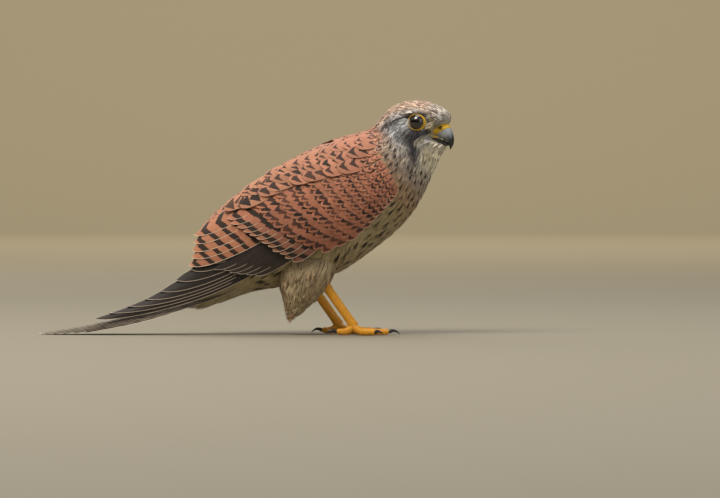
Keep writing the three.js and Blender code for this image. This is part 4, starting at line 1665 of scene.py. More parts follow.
        head = self.roots((12.4, 17.95), whole, 1.0, 60000, 11)
        streak = self.marks(len(head), 0.9, 0.55, 12)
        side_view, _ = self.body.section(*head.T)
        throat = self.patches[self.throat].mask(side_view[:, 0], side_view[:, 2])
        streak[:, 0] *= (np.random.default_rng(14).random(len(head)) < 0.5) * (1 - throat)
        add("face", "streaked", head, streak, slim, 13)
        nape = self.roots((9.8, 12.6), whole, 0.95, 40000, 21)
        marks = self.marks(len(nape), 0.9, 0.65, 22)
        marks[:, 0] *= np.random.default_rng(23).random(len(nape)) < 0.5
        add("neck", "streaked", nape, marks, tuft, 24)
        mantle = self.roots((2.0, 9.8), (0, 1.15), 0.95, 9000, 31)
        marks = self.marks(len(mantle), 1.0, 2.5, 32, 0.12)
        marks[:, 0] *= np.random.default_rng(34).random(len(mantle)) < 0.8
        add("mantle", "spotted", mantle, marks, BACK_VANE, 33)
        plain = (
            ("breast", (6.6, 9.8), 22000, 41),
            ("belly", (2.6, 6.6), 24000, 51),
            ("vent", (0.5, 2.6), 16000, 61),
        )
        for name, stations, tries, seed in plain:
            roots = self.roots(stations, under, 1.0, tries, seed)
            add(name, "streaked", roots, self.marks(len(roots), 0.0, 1.0, seed + 1), loose, seed + 2)
        drops = self.roots((3.0, 10.4), (1.25, 4), 1.75, 20000, 71)
        marks = self.marks(len(drops), 1.0, 1.0, 72)
        marks[:, 2] *= mix(10.5, 6.4, smooth(6, 10, drops[:, 0]))
        add("drops", "dropped", drops, marks, loose, 73, rise=0.35)
        made.append(self.saddle(finishes["spotted"]))
        return made

    def saddle(self, finish: Material) -> Piece:
        """The feathers that close the room between the wings, in staggered rows across the midline.

        Args:
            finish: The finish.

        Returns:
            The piece.
        """
        rng = np.random.default_rng(81)
        places = [
            (u, y)
            for row, u in enumerate(np.arange(28.0, 131.0, 4.5))
            for y in (np.arange(-8, 9, 4.0) if row % 2 else np.arange(-10, 11, 4.0))
        ]
        roots = np.array(places) + rng.uniform(-0.7, 0.7, (len(places), 2))
        count = len(roots)
        first, last = (linear(code) for code in self.saddle_colours)
        colour = mix(first, last, rng.random(count)[:, None])
        plumes = Plumes(
            roots,
            length=18 * rng.uniform(0.9, 1.15, count),
            half=4.2 * rng.uniform(0.9, 1.1, count),
            colour=colour,
            marks=self.marks(count, 0.9, 2.4, 82, 0.15),
            sunk=2.6,
            rise=rng.uniform(0.2, 0.9, count),
            heading=0.1 * rng.standard_normal(count),
            roll=0.15 * rng.standard_normal(count),
            camber=0.3,
        )
        piece = self.plumage.grow("coat_saddle", Saddle(self.wing), plumes, BACK_VANE, Unwrap.SHEET, 83)
        piece.data.materials.append(finish)
        return piece


# Wings and tail


@dataclass(frozen=True)
class Tier:
    """A row of wing feathers that runs evenly from its first feather to its last one.

    Args:
        name: The row's name.
        finish: Its finish.
        count: How many feathers.
        roots: First and last root, along the wing and above its axis.
        tips: First and last tip.
        half: Half width of the first and the last feather.
        lifts: Offset from the wing's surface at root and tip.
        roll: How far the lower edge stands out.
        colours: Colour of the first and the last feather.
        mark: Strength of the dark mark.
        size: The mark's size in millimetres.
        fringe: Strength of the pale fringe of the first and the last feather.
        bow: How far the last feather bows down.
    """

    name: str
    finish: str
    count: int
    roots: tuple[tuple[float, float], tuple[float, float]]
    tips: tuple[tuple[float, float], tuple[float, float]]
    half: tuple[float, float]
    lifts: tuple[float, float]
    roll: float
    colours: tuple[str, str]
    mark: float = 1.0
    size: float = 3.0
    fringe: tuple[float, float] = (0.8, 0.8)
    bow: float = 0.0


@dataclass
class Wings:
    """The folded wings: flight feathers, coverts and scapulars of both sides."""

    plumage: Plumage
    primary_tips: Table = Table(
        ((0, 150, 7), (1, 168, 5), (2, 187, 0.6), (3, 205, -0.6), (4, 225, 0.4), (5, 244, 1.2))
    )
    primaries: int = 8
    tiers: tuple[Tier, ...] = (
        Tier(
            "secondaries", "flight", 6, ((98, 3), (80, -15)), ((146, -2), (122, -19)),
            (5.6, 4.6), (-4.0, -1.8), 0.9, ("#332b27", "#3a312b"), 0.0, 3.0, (0.8, 0.9),
        ),
        Tier(
            "tertials", "barred", 5, ((96, 31), (98, 8)), ((150, 27), (163, 8)),
            (8.2, 7.4), (-3.4, -0.6), 1.1, ("#b57a5c", "#ad7356"), 1.0, 4.2, (0.75, 0.85),
        ),
        Tier(
            "greater", "barred", 12, ((88, 29), (60, -13)), ((124, 27), (92, -20)),
            (5.4, 4.6), (-2.6, 0.2), 0.9, ("#b2755a", "#8a5b49"), 1.0, 3.6, (0.6, 0.85),
        ),
    )
    # scale of the tip line, feathers, length, half width, size of the mark
    lesser: tuple[tuple[float, int, float, float, float], ...] = (
        (0.80, 13, 30, 4.9, 4.4),
        (0.66, 14, 24, 4.3, 4.1),
        (0.55, 14, 20, 3.9, 3.8),
        (0.455, 14, 17, 3.5, 3.5),
        (0.375, 14, 15, 3.2, 3.2),
        (0.305, 14, 13, 2.9, 2.9),
        (0.245, 14, 12, 2.7, 2.6),
        (0.19, 13, 11, 2.5, 2.4),
        (0.14, 12, 10, 2.3, 2.2),
        (0.095, 11, 9, 2.1, 2.0),
        (0.055, 10, 8, 2.0, 1.8),
        (0.02, 9, 7, 1.9, 1.6),
    )
    # height of the first and the last root, from and to along the wing, feathers, length, half width, mark
    scapulars: tuple[tuple[float, float, float, float, int, float, float, float], ...] = (
        (24.5, 37.0, 12, 92, 8, 27, 6.4, 5.4),
        (29.5, 40.0, 4, 86, 9, 24, 6.0, 4.6),
        (34.5, 42.3, -2, 84, 10, 21, 5.6, 3.3),
        (38.5, 44.3, -3, 82, 10, 20, 5.2, 2.7),
        (41.6, 44.6, -3, 78, 9, 19, 4.8, 2.4),
        (43.6, 45.4, -3, 74, 9, 18, 4.0, 2.2),
    )
    scapular_top: float = 45.8  # no scapular ends higher than this
    primary_colour: str = "#2a2421"
    covert_colours: tuple[str, str] = ("#a96c53", "#b37559")  # lowest and highest of a row
    scapular_colours: tuple[str, str] = ("#b57a60", "#b98164")  # first and last of a row

    @staticmethod
    def row(
        roots: Array, tips: Array, half: Array, lifts: Array, roll: float, colour: Array, marks: Array,
        bow: Array | float = 0.0,
    ) -> Plumes:
        """Feathers from their ends on the wing.

        Args:
            roots: The roots' parameters.
            tips: The tips' parameters.
            half: Half widths.
            lifts: Offset from the wing at each root and tip.
            roll: How far the lower edge stands out.
            colour: Colours.
            marks: Marks.
            bow: How far each feather bows.

        Returns:
            The feathers.
        """
        run = np.linalg.norm(tips - roots, axis=1)
        sunk, rise = -lifts[:, 0], lifts[:, 1]
        return Plumes(roots, run, half, colour, marks, sunk, rise, 0.0, roll, 0.05 * half, tips, bow)

    @staticmethod
    def joined(rows: Sequence[Plumes]) -> Plumes:
        """The feathers of several rows as one set."""
        return Plumes(**{key: np.concatenate([vars(row)[key] for row in rows]) for key in vars(rows[0])})

    def tier_plumes(self, tier: Tier, rng: np.random.Generator) -> Plumes:
        """The feathers of a tier.

        Args:
            tier: The tier.
            rng: Source of the random differences.

        Returns:
            The feathers.
        """
        t = np.linspace(0, 1, tier.count)
        uneven = rng.uniform(-1, 1, (2, tier.count))
        roots = mix(np.array(tier.roots[0]), np.array(tier.roots[1]), t[:, None])
        tips = mix(np.array(tier.tips[0]), np.array(tier.tips[1]), t[:, None])
        tips = tips + zipped(1.2 * uneven[0], 0.3 * uneven[1])
        colour = mix(linear(tier.colours[0]), linear(tier.colours[1]), t[:, None])
        colour = colour * (1 + 0.06 * rng.standard_normal(tier.count))[:, None]
        size = tier.size * rng.uniform(0.6, 1.5, tier.count)
        marks = zipped(tier.mark, mix(*tier.fringe, t), size, rng.random(tier.count))
        lifts = np.tile(tier.lifts, (tier.count, 1)) - 0.12 * t[:, None]
        return self.row(roots, tips, mix(*tier.half, t), lifts, tier.roll, colour, marks, tier.bow * t)

    def primary_plumes(self, rng: np.random.Generator) -> Plumes:
        """The long flight feathers of the wing tip, innermost first.

        Args:
            rng: Source of the random differences.

        Returns:
            The feathers.
        """
        t = np.linspace(0, 1, self.primaries)
        tips = zipped(self.primary_tips.at(5 * t, 1), self.primary_tips.at(5 * t, 2))
        roots = zipped(110.0, mix(5, -15, t))
        colour = linear(self.primary_colour) * rng.uniform(0.9, 1.1, (self.primaries, 1))
        marks = np.tile([0.0, 1.0, 3.0, 0.5], (self.primaries, 1))
        lifts = zipped(-5.0, mix(-1.9, -2.6, t))
        return self.row(roots, tips, mix(6.6, 5.6, t), lifts, 1.0, colour, marks, mix(-0.5, -4.5, t))

    def covert_plumes(self, wing: WingSide, rng: np.random.Generator) -> Plumes:
        """The median and lesser coverts, in tiers that end along curves like the greater coverts' ends.

        Args:
            wing: The wing that they lie on.
            rng: Source of the random differences.

        Returns:
            The feathers.
        """
        rows = []
        lowest, highest = (linear(code) for code in self.covert_colours)
        for scale, count, length, half, size in self.lesser:
            f = (np.arange(count) + rng.uniform(-0.12, 0.12, count)) / (count - 1)
            f = np.clip(f, 0.01, 0.99)
            u = scale * (85 + 40 * (1 - (1 - f) ** 2.2)) + 5 * (1 - scale)
            low, high = wing.rows.at(u, 4), np.minimum(wing.rows.at(u, 5) - 1, 36)
            tips = zipped(u, mix(low + 2.5, high, f))
            slant = np.radians(mix(-26, -2, f**0.7) + 4 * rng.standard_normal(count))
            roots = tips - length * zipped(np.cos(slant), np.sin(slant))
            front = np.maximum(roots[:, 0], -2.0)
            roots = tips + (roots - tips) * ((u - front) / np.maximum(u - roots[:, 0], 1e-3))[:, None]
            colour = mix(lowest, highest, f[:, None]) * (1 + 0.08 * rng.standard_normal(count))[:, None]
            marks = zipped(
                rng.uniform(0.75, 1.0, count),
                0.3 * rng.random(count) + 0.6 * smooth(0.1, 0.0, f),
                size * rng.uniform(0.7, 1.25, count),
                rng.random(count),
            )
            lifts = zipped(np.full(count, -1.7), 0.35 + 0.35 * (1 - scale))
            widths = half * rng.uniform(0.92, 1.08, count)
            rows.append(self.row(roots, tips, widths, lifts, 0.35, colour, marks))
        return self.joined(rows)

    def scapular_plumes(self, rng: np.random.Generator) -> Plumes:
        """The rows of feathers from the shoulder that lie over the wing's upper edge.

        Args:
            rng: Source of the random differences.

        Returns:
            The feathers.
        """
        rows = []
        front, rear = (linear(code) for code in self.scapular_colours)
        for first, last, start, end, count, length, half, size in self.scapulars:
            t = np.clip((np.arange(count) + rng.uniform(-0.2, 0.2, count)) / (count - 1), 0, 1)
            roots = zipped(mix(start, end, t), mix(first, last, t**0.8) - 7 * smooth(0.75, 1.3, t))
            roots[:, 1] += rng.uniform(-1.2, 1.2, count)
            slant = np.radians(mix(9, -5, t) + 3 * rng.standard_normal(count))
            reach = length * mix(0.85, 1.15, t)
            tips = roots + reach[:, None] * zipped(np.cos(slant), np.sin(slant))
            tips[:, 1] = np.minimum(tips[:, 1], self.scapular_top)
            colour = mix(front, rear, t[:, None]) * (1 + 0.07 * rng.standard_normal(count))[:, None]
            marks = zipped(
                rng.uniform(0.85, 1.0, count),
                0.15,
                size * rng.uniform(0.8, 1.2, count) * mix(0.85, 1.3, t),
                rng.random(count),
            )
            # the rows next to the back's midline lie flat, so that no edge stands up along it
            lifts = zipped(np.full(count, -1.0), 1.9 if first < 40 else 0.5)
            widths = half * rng.uniform(0.92, 1.08, count)
            rows.append(self.row(roots, tips, widths, lifts, 0.3, colour, marks))
        return self.joined(rows)

    def build(self, finishes: dict[str, Material]) -> list[Piece]:
        """Makes the feathers of both wings.

        Args:
            finishes: The feather finishes by name.

        Returns:
            The pieces.
        """
        large = Vane(LONG, columns=9, rings=22, thick=0.5)
        medium = Vane(ROUND, columns=7, rings=14, thick=0.4)
        small = Vane(ROUND, columns=5, rings=10, thick=0.3)
        made = []
        for side, hand in SIDES.items():
            wing = WingSide(hand)
            rng = np.random.default_rng(101)  # the same for both sides, so that they mirror each other
            parts = [("primaries", "flight", self.primary_plumes(rng), large)]
            for tier in self.tiers:
                parts.append((tier.name, tier.finish, self.tier_plumes(tier, rng), large))
            parts.append(("coverts", "spotted", self.covert_plumes(wing, rng), small))
            parts.append(("scapulars", "spotted", self.scapular_plumes(rng), medium))
            for name, finish, plumes, vane in parts:
                piece = self.plumage.grow(f"wing_{side}_{name}", wing, plumes, vane, Unwrap.SHEET, 7)
                piece.data.materials.append(finishes[finish])
                if name == "primaries":
                    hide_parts("wing_" + side)
                made.append(piece)
        return made


@dataclass
class Tail:
    """The closed tail of twelve feathers, laid on the ground."""

    plumage: Plumage
    fan: TailFan = field(default_factory=TailFan)
    shorter: float = 34.0  # how much shorter the outermost feather is than the middle one
    widths: tuple[float, float] = (7.5, 1.5)  # of the middle feather, and what each next one adds
    colours: tuple[str, str] = ("#63574d", "#8a7c6c")  # middle and outermost

    def build(self, finishes: dict[str, Material]) -> list[Piece]:
        """Makes the tail feathers.

        Args:
            finishes: The feather finishes by name.

        Returns:
            The pieces.
        """
        fan = self.fan
        rng = np.random.default_rng(201)
        k = np.repeat(np.arange(fan.pairs), 2)
        hand = np.tile([-1.0, 1.0], fan.pairs)
        length = fan.length - self.shorter * (k / (fan.pairs - 1)) ** 1.3
        outer = self.widths[0] + self.widths[1] * k
        middle = hand * outer / 2
        roots = zipped(4.0, middle * 0.8)
        tips = zipped(length, middle)
        first, last = (linear(code) for code in self.colours)
        colour = mix(first, last, (k / 5)[:, None]) * rng.uniform(0.95, 1.05, (len(k), 1))
        marks = zipped(0.85, 0.9, 3.5, rng.random(len(k)))
        lift = -fan.layer * k - 0.06 * (hand > 0)
        run = np.linalg.norm(tips - roots, axis=1)
        half = outer / 2 + 0.2
        plumes = Plumes(roots, run, half, colour, marks, -lift, lift + 0.25, camber=0.15, tips=tips)
        blunt = Table(((0, 0.6), (0.25, 0.9), (0.5, 1), (0.88, 1), (0.95, 0.86), (0.985, 0.6), (1, 0.25)))
        vane = Vane(blunt, columns=9, rings=34, thick=0.5)
        piece = self.plumage.grow("tail_feathers", fan, plumes, vane, Unwrap.SHEET, 202)
        piece.data.materials.append(finishes["tail"])
        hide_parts("tail")
        return [piece]


# Skin


@dataclass
class Skin:
    """One skin under the coat, from the bill to the tail's root, with the wings' cores and the thighs."""

    body: Body
    plumage: Plumage
    workshop: Workshop
    sides: int = 56
    voxel: float = 1.5
    # along the wing, lower edge, upper edge, how far below the outer surface, depth
    wing_core: Table = Table(
        (
            (2, -1, 8, 1.6, 9),
            (7, -7.5, 19, 1.6, 9),
            (20, -13, 29, 1.8, 9),
            (45, -20, 41, 2.2, 9),
            (70, -21, 43.5, 2.5, 8),
            (98, -17, 40, 3.2, 6),
            (116, -15, 34, 4.4, 4),
            (133, -13, 22, 5.0, 2.5),
        )
    )

    def body_rings(self) -> list[Array]:
        """The body's sections, sunk by the coat's depth.

        Returns:
            The rings, from one end to the other.
        """
        angle = np.linspace(0, 2 * math.pi, self.sides, endpoint=False)
        depth = Table(((0, -2.2), (9, -2.6), (11, -1.7), (13, -1.1), (16, -0.75), (18, -0.5)))
        stations = np.linspace(0, 18, 72)
        return [self.body.point(np.full(self.sides, s), angle, float(depth.at(s))) for s in stations]

    def core_rings(self, hand: float) -> list[Array]:
        """The sections of a wing's core.

        Args:
            hand: -1 on the right side, 1 on the left.

        Returns:
            The rings, from one end to the other.
        """
        wing = WingSide(hand)
        rings = []
        for u in np.linspace(2, 133, 26):
            low, high, sunk, depth = (float(self.wing_core.at(u, c)) for c in (1, 2, 3, 4))
            heights = np.linspace(high, low, 12)
            along = np.full(12, u)
            outer, inner = wing.point(along, heights, -sunk), wing.point(along, heights, -sunk - depth)
            rings.append(np.concatenate([outer, inner[::-1]]))
        return rings

    def thigh_rings(self, hand: float) -> list[Array]:
        """The sections of a thigh, sunk under its feathers.

        Args:
            hand: -1 on the right side, 1 on the left.

        Returns:
            The rings, from one end to the other.
        """
        thigh = ThighSide(hand)
        angle = np.linspace(0, 2 * math.pi, 20, endpoint=False)
        return [thigh.point(np.full(20, z), angle, -1.2) for z in np.linspace(18, 56, 14)]

    def tail_rings(self) -> list[Array]:
        """The sections of the fleshy root that the tail feathers grow from.

        Returns:
            The rings, from one end to the other.
        """
        fan = TailFan()
        angle = np.linspace(0, 2 * math.pi, 16, endpoint=False)
        rings = []
        for s, half in ((-6.0, 9.0), (8.0, 9.0), (22.0, 8.0), (34.0, 6.0)):
            lift = mix(-5.0, -0.6, (1 + np.cos(angle)) / 2)
            rings.append(fan.point(np.full(16, s), half * np.sin(angle), lift))
        return rings

    def build(self, material: Material) -> Piece:
        """Makes the skin as one closed surface.

        Args:
            material: Its finish.

        Returns:
            The piece.
        """
        whole = bmesh.new()
        parts = [self.body_rings(), self.tail_rings()]
        for hand in SIDES.values():
            parts += [self.core_rings(hand), self.thigh_rings(hand)]
        for rings in parts:
            self.workshop.join(whole, loft(rings))
        piece = self.workshop.piece("skin", whole, material)
        remesh = piece.modifiers.new("fuse", "REMESH")
        remesh.mode = "VOXEL"
        remesh.voxel_size = self.voxel * MM
        relax = piece.modifiers.new("relax", "SMOOTH")
        relax.factor, relax.iterations = 0.5, 4
        fused = bpy.data.meshes.new_from_object(piece.evaluated_get(bpy.context.evaluated_depsgraph_get()))
        piece.modifiers.clear()
        old, piece.data = piece.data, fused
        bpy.data.meshes.remove(old)
        piece.data.name = "skin"
        piece.data.shade_smooth()
        if not piece.data.materials:
            piece.data.materials.append(material)
        self.paint(piece)
        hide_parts("head", "neck", "torso", "thigh_right", "thigh_left")
        log.info("skin: %d faces", len(piece.data.polygons))
        return piece

    def paint(self, piece: Piece) -> None:
        """Gives the skin the colour of the nearest feather.

        Args:
            piece: The piece.
        """
        roots, colours = np.concatenate(self.plumage.roots), np.concatenate(self.plumage.colours)
        tree = KDTree(len(roots))
        for i, root in enumerate(roots.tolist()):
            tree.insert(root, i)
        tree.balance()
        nearest = [tree.find(p)[1] for p in self.workshop.points(piece).tolist()]
        colour = np.concatenate([colours[nearest], np.ones((len(nearest), 1))], 1).astype(np.float32)
        layer = piece.data.attributes.new("plumage", "FLOAT_COLOR", "POINT")
        layer.data.foreach_set("color", colour.ravel())


# Head parts


@dataclass
class Face:
    """Eyes, lids, cere, nostrils and bill."""

    body: Body
    eye: Eye
    workshop: Workshop
    # top x, top z, bottom x, bottom z, half width
    upper: Table = Table(
        (
            (0, 66, 156.0, 64.5, 146.2, 7.4),
            (1, 70.5, 155.8, 68.5, 145, 6.5),
            (2, 74.5, 154.6, 72, 143.6, 5.6),
            (3, 77.6, 151.8, 74.6, 142.2, 4.6),
            (4, 79.6, 147.8, 76, 141.2, 3.6),
            (5, 80.6, 143.5, 77, 139.9, 2.6),
            (6, 80.4, 139.5, 77.4, 138, 1.7),
            (7, 79.2, 137, 77.6, 136.6, 0.9),
            (8, 78.0, 135.5, 77.7, 135.5, 0.35),
        )
    )
    lower: Table = Table(
        (
            (0, 64.5, 145.5, 64, 141.6, 6.8),
            (1, 69, 144.1, 68.5, 140.2, 5.5),
            (2, 73, 142.4, 72.5, 138.8, 4.0),
            (3, 75.6, 140.9, 75.2, 138.0, 2.7),
            (4, 76.7, 139.6, 76.5, 138.2, 1.2),
        )
    )
    nostril: tuple[float, float, float] = (72.8, 5.3, 151.4)
    nostril_radius: float = 1.2
    cere_point: tuple[float, float, float] = (77.2, 0, 151.2)
    cere_normal: tuple[float, float, float] = (0.49, 0, -0.872)
    tooth: float = 4.6  # the bill's row where the cutting edge has its tooth
    # from the front to the back of the mouth's corner, on the left side
    gape_line: tuple[tuple[float, float, float], ...] = (
        (71.0, 5.7, 144.5), (69.3, 6.4, 144.8), (67.2, 7.3, 145.2), (64.5, 9.0, 145.9),
    )

    def bill_rings(self, rows: Table, steps: int, swell: float = 0.0) -> list[Array]:
        """Sections of half of the bill, before the head's turn.

        Args:
            rows: Its sections.
            steps: How many rings.
            swell: How far they stand out more.

        Returns:
            The rings, from one end to the other.
        """
        angle = np.linspace(0, 2 * math.pi, 40, endpoint=False)
        rings = []
        for key in np.linspace(0, len(rows.rows) - 1, steps):
            tx, tz, bx, bz, half = (float(rows.at(key, c)) for c in range(1, 6))
            up = np.array([tx - bx, 0, tz - bz]) / 2
            up = up * (1 + swell / np.linalg.norm(up))
            centre = np.array([(tx + bx) / 2, 0, (tz + bz) / 2])
            ring = centre + np.outer(np.cos(angle), up)
            ring[:, 1] = (half + swell) * np.sign(np.sin(angle)) * np.abs(np.sin(angle)) ** 0.85
            rings.append(ring)
        return rings

    def turned(self, bm: bmesh.types.BMesh) -> bmesh.types.BMesh:
        """Turns a shape with the head.

        Args:
            bm: The shape.

        Returns:
            The same bmesh.
        """
        for vert in bm.verts:
            vert.co = Vector(self.body.turned(np.array(vert.co)).tolist())
        return bm

    def cut_at_cere(self, bm: bmesh.types.BMesh, in_front: bool) -> bmesh.types.BMesh:
        """Cuts the upper half of the bill where the cere ends, and closes the cut.

        Args:
            bm: The whole upper half.
            in_front: Whether the part in front of the cut is kept, or else the one behind it.

        Returns:
            The same bmesh.
        """
        bmesh.ops.bisect_plane(
            bm,
            geom=bm.verts[:] + bm.edges[:] + bm.faces[:],
            plane_co=self.cere_point,
            plane_no=self.cere_normal,
            clear_inner=in_front,
            clear_outer=not in_front,
        )
        bmesh.ops.holes_fill(bm, edges=[e for e in bm.edges if e.is_boundary], sides=0)
        bmesh.ops.recalc_face_normals(bm, faces=bm.faces[:])
        return bm

    def upper_bill(self, horn: Material) -> Piece:
        """The hooked upper half of the bill, in front of the cere.

        Args:
            horn: The finish of horn.

        Returns:
            The piece.
        """
        rings = self.bill_rings(self.upper, 49)
        keys = np.linspace(0, 8, 49)
        for key, ring in zip(keys, rings):
            edge = np.exp(-(((key - self.tooth) / 0.3) ** 2))
            low = ring[:, 2] < ring[:, 2].min() + 1.2
            ring[low, 2] -= 0.7 * edge
            ring[low, 2] += 0.35 * np.exp(-(((key - self.tooth - 0.75) / 0.3) ** 2))
        bm = self.cut_at_cere(loft(rings), in_front=True)
        local = np.array([v.co[:] for v in bm.verts])
        piece = self.workshop.piece("upper_bill", self.turned(bm), horn)
        ahead = (local - np.array(self.cere_point)) @ np.array(self.cere_normal)
        self.workshop.attribute(piece, "reach", np.clip(ahead / 17, 0, 1))
        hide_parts("bill_upper")
        return piece

    def cere(self, skin: Material) -> Piece:
        """The yellow cere with its round nostrils, each with a small peg in the middle.

        Args:
            skin: The finish of bare skin.

        Returns:
            The piece.
        """
        bm = self.cut_at_cere(loft(self.bill_rings(self.upper, 97, 0.18)), in_front=False)
        bmesh.ops.subdivide_edges(bm, edges=bm.edges[:], cuts=1, use_grid_fill=True)
        deep = []
        x, _, z = self.nostril
        for vert in bm.verts:
            away = math.hypot(vert.co.x - x, vert.co.z - z) / self.nostril_radius
            if abs(vert.co.y) < 2.5:
                away = 9.0
            pit = float(smooth(1.15, 0.75, away)) - 0.8 * float(smooth(0.45, 0.2, away))
            rim = math.exp(-(((away - 1.45) / 0.35) ** 2))
            vert.co.y += math.copysign(0.22 * rim - 1.3 * pit, vert.co.y)
            # painted shade inside each nostril's pit, lighter on its peg
            deep.append(float(smooth(1.2, 0.85, away)) * (0.35 if away < 0.4 else 1.0))
        piece = self.workshop.piece("cere", self.turned(bm), skin)
        self.workshop.attribute(piece, "reach", np.array(deep))
        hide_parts("cere")
        return piece

    def lower_bill(self, horn: Material) -> Piece:
        """The short lower half of the bill.

        Args:
            horn: The finish of horn.

        Returns:
            The piece.
        """
        bm = loft(self.bill_rings(self.lower, 25))
        local = np.array([v.co[:] for v in bm.verts])
        piece = self.workshop.piece("lower_bill", self.turned(bm), horn)
        self.workshop.attribute(piece, "reach", np.clip((local[:, 0] - 66) / 11, 0, 1))
        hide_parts("bill_lower")
        return piece

    def eyeball(self, side: str, hand: float, wet: Material) -> Piece:
        """One eye, looking outwards and a little forward.

        Args:
            side: The side's name.
            hand: -1 on the right side, 1 on the left.
            wet: The finish of the eye.

        Returns:
            The piece.
        """
        bm = bmesh.new()
        bmesh.ops.create_uvsphere(bm, u_segments=48, v_segments=32, radius=self.eye.radius)
        axis = Vector((math.sin(self.eye.forward), hand * math.cos(self.eye.forward), 0))
        gaze = np.array([v.co.angle(axis) for v in bm.verts])
        bmesh.ops.translate(bm, vec=(self.eye.x, hand * self.eye.y, self.eye.z), verts=bm.verts[:])
        piece = self.workshop.piece("eyeball_" + side, self.turned(bm), wet)
        self.workshop.attribute(piece, "gaze", gaze)
        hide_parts("eye_" + side)
        return piece

    def lid(self, side: str, hand: float, skin: Material) -> Piece:
        """The bare ring of skin round an eye, broadest in front, with a dark line of painted shade where it
        creases in its broad part, and painted shade along its inner rim by the eye.

        Args:
            side: The side's name.
            hand: -1 on the right side, 1 on the left.
            skin: The finish of bare skin.

        Returns:
            The piece.
        """
        eye = self.eye
        rings, reach = [], []
        section = np.linspace(0, 2 * math.pi, 16, endpoint=False)
        for phi in np.linspace(0, 2 * math.pi, 72, endpoint=False):
            front = max(0.0, math.cos(phi + 0.2)) ** 1.6
            width, rise = 0.22 + 0.95 * front, 0.4 + 0.3 * front
            middle = eye.lid - 0.1 + width * 0.8
            radial = middle + width * np.cos(section)
            lift = rise * np.sin(section) - 0.25 * (radial - eye.lid)
            x, z = radial * math.cos(phi), radial * math.sin(phi)
            y = eye.lid_y - 0.15 + lift
            cos, sin = math.cos(eye.forward), math.sin(eye.forward)
            ring = zipped(eye.x + x * cos + (y - eye.lid_y) * sin, hand * (y - x * sin), eye.z + z)
            rings.append(ring)
            share = (radial - radial.min()) / (radial.max() - radial.min())
            # painted shade: a dark crease line in the broad front part, and the inner rim where the lid
            # meets the eye
            fold_shade = np.exp(-(((share - 0.5) / 0.12) ** 2)) * front
            reach.append(np.maximum(fold_shade, smooth(0.1, 0.0, share)))
        bm = loft([*rings, rings[0]], closed=False)
        bmesh.ops.remove_doubles(bm, verts=bm.verts[:], dist=0.001)
        bmesh.ops.recalc_face_normals(bm, faces=bm.faces[:])
        flat, values = np.concatenate(rings), np.concatenate(reach)
        local = np.array([v.co[:] for v in bm.verts])
        nearest = [int(np.argmin(np.sum((flat - p) ** 2, 1))) for p in local]
        piece = self.workshop.piece("lid_" + side, self.turned(bm), skin)
        self.workshop.attribute(piece, "reach", values[nearest])
        return piece

    def gape(self, side: str, hand: float, skin: Material) -> Piece:
        """The fleshy corner of the mouth, between the bill's halves.

        Args:
            side: The side's name.
            hand: -1 on the right side, 1 on the left.
            skin: The finish of bare skin.

        Returns:
            The piece.
        """
        path = np.array(self.gape_line)
        t = np.linspace(0, 1, 13)
        line = np.stack([np.interp(t, np.linspace(0, 1, len(path)), path[:, c]) for c in range(3)], -1)
        line[:, 1] *= hand
        size = 0.42 * np.sin(math.pi * np.clip(t * 0.94 + 0.06, 0, 1)) + 0.12
        bm = loft(limb_rings(line, size * 0.8, size, 10))
        piece = self.workshop.piece("gape_" + side, self.turned(bm), skin)
        self.workshop.attribute(piece, "reach", np.full(len(piece.data.vertices), 0.15))
        return piece

    def build(self, looks: dict[str, Material]) -> list[Piece]:
        """Makes all parts of the face.

        Args:
            looks: The finishes by name.

        Returns:
            The pieces.
        """
        made = [self.cere(looks["cere"]), self.upper_bill(looks["bill"]), self.lower_bill(looks["mandible"])]
        for side, hand in SIDES.items():
            made.append(self.eyeball(side, hand, looks["eye"]))
            made.append(self.lid(side, hand, looks["cere"]))
            made.append(self.gape(side, hand, looks["cere"]))
        return made


# Legs


